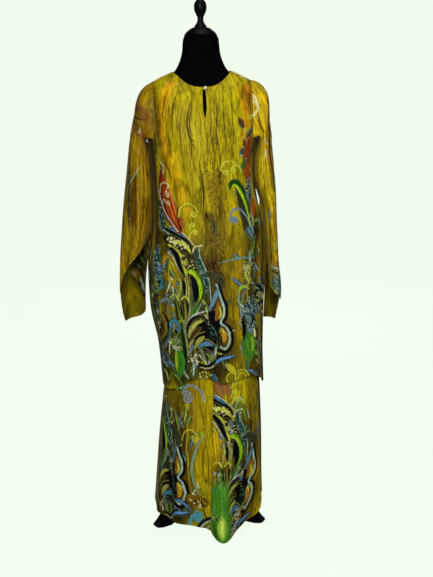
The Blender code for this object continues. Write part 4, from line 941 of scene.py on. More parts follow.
# The outer part: streaked olive with a lilac hook, the lobed border at its side, and small curls.
outer = skirt_cloth.moved(-OTHER_END, 0)
outer.wash((-150, 500, -120, 300, -140, 60), 120, ink(118, 98, 12), 0.8)
outer.wash((-60, 480, -70, 380, -60, 300), 70, ink(128, 108, 14), 0.8)
outer.wash((-110, 400, -104, 330), 34, ink(58, 34, 8), 0.8)
outer.wash((-40, 150, -60, 90, -30, 40), 60, ink(120, 120, 14), 0.8)
outer.wash((-130, 60, -90, 40, -40, 30), 40, ink(170, 170, 26), 0.7)
streaks(outer, (-260, 30), (0, 500), 11, 5, 0.7)
outer.wash((-110, 500, -120, 300), 110, ink(96, 82, 10), 0.8)
thicket(outer, -118, 220, 96, 330, 50, 11)
print_figure(outer, -250, 306, (petals, leaf, eye))
print_figure(outer, -530, 470)
outer.beads(-96, 486, 60, 44, 8, ink(98, 170, 56), [WHITE, ink(150, 210, 90), DARK], 0, 0.8, 12)
outer.curl(-70, 446, 21, 150, -1.5, 7, LILAC, (-14, 440, -22, 466, -44, 484, -72, 482))
outer.curl(-47, 322, 13, 60, -1.3, 4, ink(200, 190, 40), (-92, 312, -82, 336, -60, 348))
outer.leaves(((-12, 334, -34, 308, -50, 270, -60, 232, -58, 200, -44, 160, -16, 122), 7,
    ink(124, 158, 128)), ((-14, 126, -50, 128, -86, 146), 3, DARK))
outer.beads(-44, 128, 80, 44, 7, ink(74, 54, 10), [GOLD, LIME, ink(150, 110, 14), CREAM], -8, 0.9, 13)
outer.line((-128, 120, -104, 122, -80, 108, -66, 92), 7, ink(88, 132, 178), "leaf")
outer.curl(-46, 82, 18, 190, 1.4, 9, ink(76, 148, 156), (-72, 46, -70, 66))
for ring_step, ring_ink in enumerate((BLACK, ink(150, 170, 140), BLACK, ink(110, 140, 104), ink(30, 56, 30),
        ink(96, 120, 70))):
    ring_turn = np.radians(np.linspace(95, 200, 11))
    ring = 50 - 8 * ring_step
    outer.line(np.stack([2 + ring * np.cos(ring_turn), 26 + ring * np.sin(ring_turn)], -1), 10
        if ring_step == 0 else 5, ring_ink)
outer.line((-30, 140, -22, 90, -8, 60), 5, ink(10, 20, 10), "leaf")

# The inner part: the figure once more under an orange patch, and a bright green loose side.
skirt_cloth.wash((70, 500, 100, 420, 110, 320), 110, ink(178, 162, 18), 0.9)
skirt_cloth.wash((10, 330, 30, 250, 40, 180), 60, ink(160, 140, 14), 0.9)
skirt_cloth.wash((150, 480, 158, 300), 40, ink(120, 100, 12), 0.8)
streaks(skirt_cloth, (-20, 30), (260, 500), 12, 7, 0.6)
for across in (0, 26, 52):
    skirt_cloth.line([(across - 4, 520), (across + 6, 480), (across + 18, 446)], 26, ink(164, 78, 14),
        "leaf", 0.7)
skirt_cloth.line((8, 500, 14, 470, 36, 448), 3, GOLD, "leaf")
for x, y, wide, tall, count, seed in ((66, 250, 100, 330, 46, 12), (140, 250, 50, 330, 26, 13)):
    thicket(skirt_cloth, x, y, wide, tall, count, seed, 0.35)
print_figure(skirt_cloth, 21, 280)
print_figure(skirt_cloth, 306, 450)
for spot in ((88, 492), (84, 462), (86, 440)):
    skirt_cloth.curl(spot[0], spot[1], 9, -150, -1.3, 3, LIME, [(spot[0] - 16, spot[1] - 16)])
skirt_cloth.line((38, 150, 46, 90, 60, 24), 78, ink(76, 150, 34), "even", 0.9, blur=30)
skirt_cloth.line((52, 90, 54, 54, 60, 24), 26, ink(206, 236, 90), "leaf", 0.95, blur=14)
skirt_cloth.line((22, 80, 30, 40, 44, 14), 14, ink(30, 84, 18), "leaf", 0.8, blur=8)
skirt_cloth.beads(40, 84, 44, 26, 7, None, [CREAM, DARK, LIME], -12, 0.7, 14)
skirt_cloth.beads(122, 74, 60, 46, 8, None, [CREAM, LIME, WHITE, GOLD], 24, 0.9, 15)
for band_ink, drop in ((BLACK, 0), (PALE, 7), (BLACK, 12), (WHITE, 18)):
    skirt_cloth.line([(92, 44 - drop), (118, 60 - drop), (134, 76 - drop)], 5, band_ink, "leaf")
skirt_front = cut_piece("skirt_front_cloth", front_face, 1, skirt_cloth, front_up
    - by_angle(SKIRT_HEM, np.linspace(-90, 90, front_face.shape[1])))
sew_in(skirt_front, front_face, "skirt_front")

back_turn = np.linspace(90 + SEAM_TURN, 270 - SEAM_TURN, 153)
back_heights = np.concatenate([np.linspace(SKIRT_TOP_Z, 0.56, 49), np.linspace(0.56, SKIRT_FOOT, 185)[1:]])
back_u, back_v = np.meshgrid(back_turn, back_heights)
back_face = skirt(back_u, back_v)
back_across = middle_run(back_face, 76)
back_up = back_face[..., 2]
back_face += (creased(back_across, back_up, SKIRT_CREASES)[..., None] * facing(back_face, 1)
    * ease((0.62 - back_up) / 0.15)[..., None])
skirt_back_cloth = Cloth(back_across, back_up)
skirt_back_cloth.wash((-120, 460, -110, 200), 120, ink(140, 116, 14), 0.8)
skirt_back_cloth.wash((100, 400, 120, 160), 120, ink(120, 104, 16), 0.8)
streaks(skirt_back_cloth, (-270, 30), (270, 500), 12, 9, 0.6)
print_figure(skirt_back_cloth, -250, 300)
print_figure(skirt_back_cloth, 35, 470)
print_figure(skirt_back_cloth, 90, 80)
skirt_back = cut_piece("skirt_back_cloth", back_face, 1, skirt_back_cloth, back_up - 0.055)
sew_in(skirt_back, back_face, "skirt_back")

BAND_WALL = 0.0024


def waistband_cloth():
    """Olive lining cloth over elastic: upright gathers from a sine, and a close weave."""
    material, tree, shader, node, ramp = shader_nodes("waistband_cloth")
    place = node("TexCoord").outputs["Object"]
    weave = node("TexNoise", {"Vector": place, "Scale": 900.0, "Detail": 2.0}).outputs["Fac"]
    cloud = node("TexNoise", {"Vector": place, "Scale": 30.0, "Detail": 3.0}).outputs["Fac"]
    tree.links.new(ramp(cloud, (0.3, ink(98, 90, 36)), (0.7, ink(122, 112, 48))), shader.inputs["Base Color"])
    tree.links.new(ramp(weave, (0.3, 0.55), (0.7, 0.75)), shader.inputs["Roughness"])
    bump = node("Bump", {"Height": weave, "Strength": 0.4, "Distance": 0.0003})
    tree.links.new(bump.outputs["Normal"], shader.inputs["Normal"])
    shader.inputs["Specular IOR Level"].default_value = 0.2
    return material


def waistband_shape(columns=384, rows=9):
    """The band: the skirt's top ring carried up, its two faces rippled by gathers, joined at both
    edges by half rounds of the wall's thickness."""
    turn = np.linspace(0, 360, columns + 1)[:-1]
    ring = skirt(turn, np.full(columns, SKIRT_TOP_Z))[:, :2]
    away = ring / np.linalg.norm(ring, axis=1, keepdims=True)
    up = SKIRT_TOP_Z + 0.0005 + BAND_HEIGHT * np.linspace(0, 1, rows)
    gather = 0.0006 * np.sin(np.radians(turn * 90))[:, None]
    loop = []
    for depth, heights in ((0.0, up), (BAND_WALL, up[::-1])):
        for z in heights:
            loop.append(np.hstack([ring - away * (depth + 0.0006 + gather), np.full((columns, 1), z)]))
    spots = np.array(loop)
    count = len(spots)
    j, i = np.meshgrid(np.arange(count), np.arange(columns), indexing="ij")
    after, below = (i + 1) % columns, (j + 1) % count
    quads = np.stack([j * columns + i, j * columns + after, below * columns + after, below * columns + i], -1)
    return spots.reshape(-1, 3) + STAND, quads.reshape(-1, 4).tolist()


band = new_piece("waistband_cloth", *waistband_shape(), 60)
outward(band)
hand_in(band, waistband_cloth(), "band_cloth", "skirt_waistband")


# ---- tunic
# The long loose tunic of the baju kurung: straight front and back panels with a gore let into
# each side under the arm. It slips over the head through a round neck with a keyhole slit.
ARMHOLE_X = 0.150
ARMPIT_ROW = 9
HEM_ROW = 17
LIFTED_ROWS = 6
SHOULDER_LIFT = 0.004
NECK_ROUNDING = 0.8      # how much flatter the neckline is than a cosine squared, fading down
NECK_ROWS = 3
SEAM_GAP = 0.0003
SQUARENESS = 2.3
TUNIC_COLUMNS = ("side_z", "front_z", "back_z", "left", "right", "front", "back", "seam_l", "seam_r")
TUNIC_ROWS = (
    (1.4430, 1.392, 1.430, -0.0880, 0.0910, 0.078, 0.052, -0.150, 0.150),
    (1.4290, 1.371, 1.411, -0.1200, 0.1200, 0.089, 0.067, -0.150, 0.150),
    (1.4135, 1.350, 1.388, -0.1500, 0.1500, 0.099, 0.082, -0.150, 0.150),
    (1.4125, 1.345, 1.383, -0.1505, 0.1505, 0.101, 0.084, -0.150, 0.150),
    (1.4095, 1.338, 1.375, -0.1520, 0.1520, 0.103, 0.087, -0.150, 0.150),
    (1.4040, 1.328, 1.362, -0.1550, 0.1550, 0.106, 0.091, -0.150, 0.150),
    (1.3950, 1.313, 1.345, -0.1600, 0.1600, 0.110, 0.096, -0.150, 0.150),
    (1.3650, 1.285, 1.312, -0.1670, 0.1670, 0.116, 0.104, -0.150, 0.150),
    (1.3150, 1.255, 1.275, -0.1700, 0.1700, 0.121, 0.112, -0.150, 0.150),
    (1.2470, 1.225, 1.232, -0.1680, 0.1680, 0.126, 0.117, -0.150, 0.150),
    (1.1950, 1.180, 1.185, -0.1610, 0.1610, 0.128, 0.118, -0.149, 0.150),
    (1.1350, 1.128, 1.130, -0.1560, 0.1600, 0.129, 0.118, -0.146, 0.151),
    (1.0500, 1.048, 1.048, -0.1535, 0.1710, 0.131, 0.119, -0.141, 0.152),
    (0.9600, 0.960, 0.960, -0.1580, 0.1890, 0.135, 0.124, -0.136, 0.153),
    (0.8500, 0.850, 0.850, -0.1780, 0.1940, 0.141, 0.133, -0.130, 0.153),
    (0.7300, 0.730, 0.730, -0.1740, 0.1880, 0.147, 0.139, -0.125, 0.153),
    (0.6200, 0.620, 0.620, -0.1500, 0.1860, 0.152, 0.141, -0.120, 0.153),
    (0.4850, 0.500, 0.490, -0.1390, 0.1890, 0.157, 0.142, -0.116, 0.154),
)
TUNIC_HEM = ((-180, 0.478), (-130, 0.472), (-90, 0.462), (-55, 0.468), (-40, 0.490), (-27, 0.512),
    (-8, 0.514), (4, 0.499), (20, 0.504), (42, 0.512), (55, 0.496), (70, 0.470), (90, 0.462), (130, 0.470),
    (180, 0.478))
TUNIC_FOLDS = (
    (-64, 7, 0.0050, 1.12, 0.62), (-47, 5, -0.0035, 1.02, 0.55), (-33, 6, 0.0060, 1.05, 0.55),
    (-16, 6, -0.0040, 1.00, 0.55), (8, 8, 0.0060, 1.05, 0.52), (33, 6, -0.0045, 1.10, 0.60),
    (51, 8, 0.0065, 1.15, 0.62), (73, 5, -0.0045, 1.00, 0.70), (104, 7, 0.0060, 1.05, 0.60),
    (128, 7, -0.0040, 1.00, 0.60), (150, 8, 0.0065, 1.10, 0.60), (176, 8, -0.0045, 1.15, 0.65),
    (-158, 8, 0.0060, 1.10, 0.60), (-134, 7, -0.0040, 1.00, 0.60), (-108, 8, 0.0055, 1.05, 0.60),
)
# Soft creases: drags from the armpits, bust to hem troughs, and slack across the waist.
TUNIC_CREASES = (
    ((-170, 1215, -120, 1150, -92, 1060), 10, -2.6), ((-165, 1175, -128, 1110, -110, 1010), 8, 2.2),
    ((-150, 1300, -110, 1230, -84, 1180), 9, -1.8), ((172, 1210, 128, 1150, 100, 1060), 10, -2.6),
    ((166, 1170, 136, 1100, 124, 1010), 8, 2.4), ((150, 1300, 112, 1240, 92, 1180), 9, -1.6),
    ((-60, 1120, -52, 960, -62, 760), 14, -2.4), ((30, 1100, 22, 940, 30, 700), 14, 2.4),
    ((70, 1080, 74, 920, 64, 640), 12, -2.6), ((118, 1000, 128, 860, 122, 600), 11, 2.8),
    ((150, 980, 156, 820, 150, 560), 9, -2.8), ((-130, 1000, -142, 820, -126, 580), 11, -2.4),
    ((-100, 900, -96, 760, -86, 560), 11, 2.2), ((-24, 900, -30, 760, -22, 540), 12, 2.0),
    ((0, 760, 10, 640, 4, 510), 10, -2.2), ((60, 700, 52, 600, 56, 500), 9, 2.4),
    ((96, 740, 104, 620, 98, 500), 9, -2.6), ((140, 700, 146, 600, 140, 480), 9, 2.6),
    ((-70, 660, -60, 580, -64, 490), 8, -2.0), ((-40, 640, -36, 560, -40, 500), 8, 1.8),
    ((-150, 1045, -90, 1030, -40, 1042), 10, -1.2), ((160, 1030, 110, 1018, 56, 1034), 10, -1.4),
    ((200, 1150, 214, 960, 206, 640), 13, -3.0), ((235, 1100, 240, 900, 232, 560), 12, 2.8),
    ((-196, 1150, -206, 960, -190, 640), 13, -3.0), ((-226, 1080, -232, 880, -214, 560), 12, 2.6),
    ((-46, 1350, -60, 1300, -66, 1230), 10, -1.0), ((52, 1350, 66, 1290, 70, 1220), 10, -1.0),
)
BACK_CREASES = (
    ((-160, 1260, -110, 1180, -80, 1060), 11, -2.6), ((160, 1250, 112, 1170, 86, 1050), 11, -2.4),
    ((-60, 1150, -54, 950, -62, 680), 14, 2.8), ((-12, 1180, -6, 960, -14, 640), 15, -2.8),
    ((44, 1140, 52, 920, 46, 620), 13, 2.6), ((100, 1040, 108, 860, 100, 560), 12, -2.8),
    ((-104, 1020, -112, 840, -104, 560), 12, -2.6), ((-140, 900, -146, 720, -138, 520), 10, 2.4),
    ((140, 900, 146, 720, 140, 520), 10, 2.4), ((20, 760, 26, 620, 18, 500), 10, 2.4),
    ((-80, 720, -76, 600, -80, 500), 10, -2.2), ((-90, 1040, 0, 1028, 90, 1040), 12, -1.4),
    ((-110, 1330, -60, 1316, 0, 1322), 9, -1.2), ((110, 1330, 60, 1312, 10, 1318), 9, -1.0),
)


def tunic(degrees, row):
    """The tunic's face: degrees round the body from the middle front, row down it."""
    get = {name: smooth_curve(row, np.arange(len(TUNIC_ROWS)), column(TUNIC_ROWS, TUNIC_COLUMNS, name))
        for name in TUNIC_COLUMNS[:7]}
    s, c = np.sin(np.radians(degrees)), np.cos(np.radians(degrees))
    half = (get["right"] - get["left"]) / 2
    middle = (get["right"] + get["left"]) / 2
    end_z = np.where(c >= 0, get["front_z"], get["back_z"])
    flat = 1 + NECK_ROUNDING * s * s * c * c * (1 - ease(row / NECK_ROWS))
    z = get["side_z"] + (end_z - get["side_z"]) * c * c * flat
    free = np.clip(row - (HEM_ROW - 2), 0, 2) / 2
    from_z = TUNIC_ROWS[HEM_ROW - 2][0]
    z = np.where(free > 0, from_z + (by_angle(TUNIC_HEM, angle_between(degrees, 0)) - from_z) * free, z)
    radius = ring_radius(s, c, half, np.where(c >= 0, get["front"], get["back"]), SQUARENESS)
    radius = radius + folds_out(TUNIC_FOLDS, degrees, z)
    x = middle + radius * s
    z = z + SHOULDER_LIFT * np.clip(x / ARMHOLE_X, 0, 1) * (1 - ease((row - 2) / (LIFTED_ROWS - 2)))
    return np.stack([x, -radius * c, z], axis=-1)


def seam_angles(rows, side):
    """Degrees from the middle front to the front panel's edge on one side, and to the back's: where
    the ring first reaches out as far as the panel is wide."""
    reach = np.abs(smooth_curve(rows, np.arange(len(TUNIC_ROWS)), column(TUNIC_ROWS, TUNIC_COLUMNS, "seam_r"
        if side > 0 else "seam_l")))
    found = []
    for start, end in ((0.0, 90.0), (180.0, 90.0)):
        angles = np.linspace(start, end, 181)
        out = np.abs(tunic(side * angles[None, :], np.repeat(rows[:, None], 181, 1))[..., 0])
        out = np.maximum.accumulate(out, axis=1)
        past = (out < reach[:, None]).sum(axis=1).clip(1, 180)
        pick = np.arange(len(rows))
        low, high = out[pick, past - 1], out[pick, past]
        share = np.clip((reach - low) / np.maximum(high - low, 1e-9), 0, 1)
        found.append(np.where(out[:, -1] > reach, angles[past - 1] + share
            * (angles[past] - angles[past - 1]), 90.0))
    return found


def round_from_front(degrees, rows):
    """The distance round the body from the middle front to that angle, on each row."""
    path = tunic(degrees[:, None] * np.linspace(0, 1, 61)[None, :], np.repeat(rows[:, None], 61, 1))
    path[..., 2] = 0
    return run_of(path)[:, -1] * np.sign(degrees)


def body_grid(rows, start, end, columns):
    """A panel's grid between two seams given row by row, with how far round each point lies."""
    share = np.linspace(0, 1, columns + 1)
    degrees = start[:, None] + (end - start)[:, None] * share
    face = tunic(degrees, np.repeat(rows[:, None], columns + 1, 1))
    flat = face * (1, 1, 0)
    return degrees, face, run_of(flat) + round_from_front(start, rows)[:, None]


def cloth_up(face, level):
    """Where each point lies up the bolt: its height on that row, plus the run of cloth from there."""
    run = run_of(face.transpose(1, 0, 2)).T
    return face[level:level + 1, :, 2] + run[level:level + 1] - run


def hem_edge(degrees, face):
    """How far each point lies above the hem."""
    return face[..., 2] - by_angle(TUNIC_HEM, angle_between(degrees, 0))


def print_body(cloth):
    """The tunic's print round the whole body: plain streaked chest, amber down its left, dark and green
    below, near-black painted shade down its sides beside the sleeves, over darker print there, and the figure
    repeated on a half drop, each with its own small pieces."""
    for points, width, colour, strength in (((-20, 1400, 0, 1250, 10, 1120), 120, ink(156, 142, 8), 0.6),
            ((70, 1380, 90, 1240, 84, 1120), 70, ink(170, 160, 12), 0.8),
            ((-101, 1420, -118, 1366, -130, 1303, -136, 1260, -127, 1217, -106, 1150, -80, 1080), 26,
            ink(190, 140, 12), 0.9), ((-170, 1390, -156, 1310, -152, 1230), 34, ink(84, 54, 6), 0.8),
            ((-108, 1200, -92, 1120, -70, 1040), 34, GOLD, 0.8), ((30, 1110, 40, 1000, 24, 880), 60,
            ink(112, 92, 10), 0.8), ((66, 1060, 60, 900, 76, 760), 34, ink(170, 150, 12), 0.9),
            ((0, 1010, 6, 900, 16, 800), 34, ink(52, 30, 6), 0.75), ((124, 1380, 138, 1300, 128, 1200), 34,
            ink(188, 130, 16), 0.9), ((148, 1400, 160, 1360), 26, ink(204, 118, 30), 0.8),
            # painted shade beside the right armhole, over darker print
            ((178, 1340, 182, 1200, 184, 1080), 22, ink(46, 30, 8), 0.85),
            ((96, 900, 100, 760, 92, 620), 34, ink(176, 140, 12), 0.8),
            ((160, 900, 166, 720, 160, 560), 26, ink(178, 142, 14), 0.8),
            ((-110, 800, -120, 620, -110, 500), 60, ink(70, 96, 26), 0.7),
            ((30, 620, 60, 560, 90, 520), 60, ink(140, 118, 14), 0.7), ((-200, 1300, -230, 1000, -220, 600),
            70, ink(120, 98, 12), 0.7), ((230, 1300, 240, 1000, 236, 600), 70, ink(130, 104, 12), 0.7),
            ((480, 1300, 470, 1100, 500, 900), 110, ink(160, 138, 10), 0.7)):
        cloth.wash(points, width, colour, strength)
    cloth.wash((-10, 900, 0, 700, 10, 520), 170, ink(96, 82, 12), 0.75)
    # Near-black painted shade down both sides, where the sleeves meet the body and the gores, over darker
    # print: the left side, then the right above and below the waist.
    cloth.wash((-186, 1240, -192, 1000, -190, 800, -180, 500), 40, ink(20, 14, 6), 0.92)
    cloth.wash((190, 1330, 194, 1200, 196, 1080), 44, ink(22, 12, 6), 0.92)
    cloth.wash((196, 1000, 204, 800, 196, 520), 40, ink(30, 20, 6), 0.85)
    streaks(cloth, (-260, 1000), (240, 1400), 15, 3, 0.5)
    streaks(cloth, (240, 900), (760, 1400), 15, 4, 0.5)
    streaks(cloth, (-260, 480), (760, 1010), 13, 6, 0.6)
    for x, y, wide, tall, count, seed in ((-128, 700, 92, 420, 60, 1), (-24, 630, 120, 240, 44, 2),
            (136, 740, 70, 500, 60, 3), (150, 985, 46, 100, 10, 4), (-205, 640, 60, 300, 24, 5),
            (225, 640, 70, 300, 24, 6), (430, 620, 150, 260, 60, 7), (600, 620, 120, 260, 50, 8)):
        thicket(cloth, x, y, wide, tall, count, seed)
    cloth.wash((60, 620, 64, 520), 50, ink(150, 136, 14), 0.9)
    print_figure(cloth, -114, 800)
    print_figure(cloth, 192, 623, (petals, leaf, arch))
    print_figure(cloth, -392, 977, (petals, leaf))
    print_figure(cloth, 440, 790)
    print_figure(cloth, 735, 610)
    print_figure(cloth, 300, 1150, (petals, leaf))
    print_figure(cloth, 610, 1120, (petals, leaf, eye))


def print_front(cloth):
    """What only the front panel shows: the feather, the hooked curls and the small coloured parts."""
    for points, width in (((-30, 1366, -44, 1336, -53, 1288, -48, 1256, -40, 1220, -44, 1160), 3.4),
            ((-36, 1372, -38, 1330, -45, 1290, -41, 1252, -34, 1200), 1.8),
            ((14, 1350, 20, 1300, 17, 1250, 27, 1190, 20, 1110), 2.2), ((34, 1372, 38, 1320, 34, 1260, 44,
            1180, 40, 1080), 2.4), ((60, 1380, 56, 1320, 62, 1240, 58, 1150), 2.0),
            ((82, 1400, 84, 1310, 90, 1220), 1.8), ((-76, 1390, -92, 1340, -98, 1290, -96, 1230), 2.6),
            ((-66, 1340, -74, 1280, -70, 1210, -60, 1150), 2.0), ((-104, 1400, -122, 1350, -134, 1290),
            2.4), ((-20, 1180, -12, 1090, -22, 1010), 3.0)):
        cloth.line(points, 1.7 * width, ink(56, 40, 4), "leaf", 0.9)
    cloth.beads(-40, 1232, 22, 70, 5, None, [BROWN, ink(60, 44, 6)], 6, 0.5, 21)
    cloth.beads(-156, 1310, 34, 170, 5, None, [ink(70, 40, 6), ink(110, 74, 8)], 0, 0.6, 22)
    cloth.beads(30, 1246, 34, 60, 6, None, [ink(88, 60, 6)], 20, 0.3, 23)
    cloth.beads(22, 1100, 60, 190, 6.5, None, [ink(56, 32, 8), ink(96, 66, 8)], 10, 0.36, 24)
    cloth.beads(18, 890, 60, 190, 6, None, [ink(44, 24, 8), ink(70, 44, 22)], 0, 0.5, 25)
    cloth.dots([(-12, 1018), (-11, 1011)], 8, ink(50, 26, 10))
    cloth.line((4, 1012, 8, 980, 6, 950), 9, ink(48, 28, 6), "leaf", 0.9)
    cloth.line((-169, 1376, -164, 1330, -163, 1280, -154, 1240, -150, 1180), 2.6, ink(156, 178, 80))

    cloth.beads(-170, 1016, 46, 110, 5, ink(34, 62, 46), [TEAL, PALE, ink(60, 110, 80), DARK], 14, 0.9, 26)
    cloth.leaves(((-146, 1170, -136, 1130, -126, 1100), 10, ink(96, 48, 8), 0.9),
        ((-132, 1180, -114, 1140, -108, 1108), 6, ink(100, 56, 8), 0.9))
    cloth.line((-150, 1176, -136, 1158, -138, 1128), 2, CREAM)
    cloth.leaves(((-148, 1152, -144, 1090, -130, 1036, -108, 990, -96, 958), 50, ink(120, 34, 8)),
        ((-138, 1140, -132, 1085, -118, 1034, -102, 990, -94, 960), 36, ink(158, 60, 14)))
    for points in ((-118, 1110, -112, 1060, -102, 1020), (-124, 1062, -118, 1020, -104, 984),
            (-140, 1108, -126, 1118, -116, 1108), (-110, 1046, -102, 1006, -96, 976)):
        cloth.line(points, 3.6, ink(236, 132, 56), "leaf")
    cloth.line((-150, 1092, -146, 1052, -132, 1010, -112, 970), 6, ink(96, 20, 8), "leaf")
    cloth.line((-166, 1088, -156, 1052, -142, 1020, -120, 986, -104, 966), 2.6, WHITE)
    cloth.curl(-128, 1076, 10, 150, -1.4, 2.6, CREAM, (-158, 1082, -154, 1104, -138, 1112, -120, 1104))
    cloth.curl(-128, 1049, 8, 150, -1.2, 2.4, CREAM, (-150, 1048, -146, 1062))
    cloth.line((-93, 968, -100, 1000, -102, 1018, -95, 1036, -76, 1054), 5, ink(16, 34, 14), "tail")
    cloth.line((-86, 1010, -88, 992, -84, 974), 10, ink(182, 74, 20), "leaf")
    cloth.curl(-50, 1020, 12, 20, -0.9, 3.4, LIME, (-98, 1010, -90, 1034, -72, 1050, -54, 1048, -41, 1036))
    cloth.line((-92, 1018, -82, 1036, -66, 1043, -52, 1040, -45, 1030), 2.4, ink(120, 140, 40))
    cloth.curl(-72, 1018, 7, 100, 1.0, 2.4, GOLD, (-80, 1000))
    cloth.curl(-56, 985, 8, 180, -1.2, 3, LIME, (-66, 972))
    cloth.curl(-50, 963, 9, 150, -1.2, 3, LIME, (-66, 944, -66, 958))

    cloth.curl(186, 1352, 15, 60, 1.4, 4, CREAM, (184, 1306, 196, 1330))
    cloth.line((170, 1358, 176, 1372, 190, 1374, 200, 1362), 3.4, ink(50, 24, 20), "leaf")
    cloth.curl(150, 1302, 9, -20, 1.2, 3, LIME, (184, 1326, 180, 1300, 166, 1312))
    cloth.curl(132, 1262, 8, 0, 1.0, 2.6, LIME, (104, 1170, 101, 1230, 104, 1256, 116, 1268))
    for points in ((104, 1306, 110, 1286, 120, 1266), (114, 1300, 120, 1284, 128, 1270),
            (124, 1240, 128, 1222, 132, 1204)):
        cloth.line(points, 7, ink(84, 36, 12), "leaf")
    cloth.leaves(((160, 1250, 148, 1224, 134, 1190, 128, 1168), 26, ink(150, 66, 16)),
        ((174, 1226, 160, 1196, 150, 1150), 12, ink(120, 56, 12)), ((178, 1276, 154, 1262, 128, 1236), 12,
        PALE), ((176, 1274, 154, 1260, 130, 1238), 7, ink(12, 40, 56)), ((124, 1216, 112, 1186), 12, PALE),
        ((123, 1213, 113, 1190), 7, ink(10, 30, 26)), ((146, 1196, 138, 1150, 146, 1100, 140, 1060), 26,
        ink(150, 68, 16)))
    cloth.curl(58, 1142, 9, 20, -1.1, 3, LIME, (114, 1138, 98, 1164, 74, 1175, 53, 1167, 44, 1148))
    cloth.curl(86, 1148, 9, 130, 1.3, 3, LIME, (115, 1136, 104, 1156, 90, 1160))
    cloth.leaves(((112, 1150, 124, 1162, 138, 1182), 15, PALE), ((113, 1151, 124, 1162, 136, 1178), 11,
        ink(52, 120, 26)), ((92, 1112, 106, 1060, 112, 1000, 104, 960), 34, ink(40, 24, 8), 0.92),
        ((68, 1088, 74, 1106, 94, 1108, 112, 1082, 124, 1040, 128, 1008), 20, ink(24, 70, 22)),
        ((72, 1092, 84, 1102, 98, 1092, 110, 1066, 120, 1030, 126, 996), 11, LEAF_GREEN),
        ((76, 1096, 88, 1100, 100, 1084, 112, 1052), 4, LIME))
    cloth.curl(80, 1078, 6, 90, 1.0, 2.6, ink(150, 160, 60))
    cloth.beads(140, 1084, 34, 86, 5, ink(48, 66, 48), [WHITE, PALE, ink(120, 140, 110), DARK], -8, 0.95, 27)
    cloth.leaves(((156, 1064, 150, 1030, 140, 992), 24, PALE),
        ((157, 1062, 151, 1030, 142, 994), 19, ink(178, 78, 20)))
    cloth.curl(74, 996, 11, 200, -1.2, 7, ink(112, 132, 150), (136, 950, 122, 990, 108, 1016, 88, 1032, 68,
        1022, 61, 1004))
    cloth.leaves(((128, 1010, 122, 990, 132, 962), 6, ink(176, 190, 60)),
        ((140, 940, 132, 970, 120, 996), 6, ink(104, 166, 168)))
    for height, colour, width in ((992, BLACK, 9), (984, ink(150, 160, 60), 3), (976, BLACK, 10),
            (962, LEAF_GREEN, 12), (950, BLACK, 8), (942, PALE, 3), (934, BLACK, 9)):
        cloth.line([(150, height - 2), (170, height + 2), (200, height - 3)], width, colour, "leaf")
    cloth.line((24, 870, 90, 880, 160, 872), 5, ink(96, 160, 150), "leaf", 0.9)
    cloth.beads(118, 840, 20, 60, 6, None, [CREAM, LIME], 20, 0.6, 28)
    cloth.line((92, 770, 96, 786, 112, 792, 126, 780), 9, ink(150, 176, 44), "leaf")
    cloth.beads(130, 702, 56, 112, 5.5, ink(34, 56, 50), [WHITE, ink(120, 160, 160), ink(90, 130, 150),
        BLACK, PALE], -6, 0.95, 29)
    cloth.line((94, 770, 98, 720, 110, 670, 132, 640), 4, ink(100, 150, 160))
    cloth.leaves(((112, 650, 118, 600, 112, 552), 50, ink(62, 126, 26), 0.95),
        ((124, 636, 130, 606, 124, 580), 14, ink(140, 190, 50), 0.8),
        ((104, 700, 106, 660, 100, 620), 13, ink(14, 12, 8)))
    for height, colour, width in ((630, ink(180, 180, 80), 4), (620, BLACK, 11),
            (606, ink(190, 190, 110), 3), (588, BLACK, 22), (570, ink(160, 220, 60), 11), (558, BLACK, 7),
            (548, WHITE, 3)):
        cloth.line([(136, height + 4), (160, height), (184, height + 6)], width, colour, "leaf")
    cloth.line((130, 520, 150, 528, 176, 520), 24, ink(74, 42, 8), "leaf")
    for place, reach in (((84, 508), 24), ((84, 508), 15), ((46, 512), 16)):
        turn = np.radians(np.linspace(-30, 300, 17))
        cloth.line(np.stack([place[0] + reach * np.cos(turn), place[1] + reach * np.sin(turn)], -1), 3.4,
            ink(206, 206, 50))
    cloth.line((30, 560, 50, 540, 64, 520), 22, ink(206, 196, 40), "leaf", 0.8)


# The keyhole: the front's split column parts into two lips, widest below the button.
NECK_X = 0.002
KEYHOLE_HALF = ((1.2990, 0.0), (1.3050, 0.0016), (1.3120, 0.0034), (1.3250, 0.0051), (1.3420, 0.0060),
    (1.3620, 0.0058), (1.3800, 0.0048), (1.3840, 0.0038), (1.3865, 0.0011), (1.4000, 0.0011))
KEYHOLE_REACH = 0.022    # how far from the slit its parting is felt
KEYHOLE_FOOT_ROW = 92
SPLIT = 88
ROW_STEPS = ((0, 40, 120, 484), (0, 2, 9, 17))
SEAM_TURN_BODY = 0.06


def keyhole_half(z):
    """Half the slit's width at a height."""
    return np.interp(z, *np.array(KEYHOLE_HALF).T)


def split_angle(rows):
    """The angle round the body that the keyhole's line keeps to."""
    get = {name: smooth_curve(rows, np.arange(len(TUNIC_ROWS)), column(TUNIC_ROWS, TUNIC_COLUMNS, name))
        for name in ("left", "right", "front")}
    return np.degrees(np.arcsin((NECK_X - (get["right"] + get["left"]) / 2) / get["front"]))


def parted(face, lip):
    """The front opened at its slit: points beside it move away, less and less to the reach."""
    x = face[..., 0] - face[:, SPLIT:SPLIT + 1, 0]
    open_by = keyhole_half(face[:, SPLIT, 2])[:, None]
    side = np.where(np.arange(face.shape[1]) < SPLIT, -1.0, 1.0)
    side[SPLIT] = lip
    moved = face.copy()
    moved[..., 0] += side * open_by * np.clip(1 - np.abs(x) / KEYHOLE_REACH, 0, 1) ** 1.5
    return moved


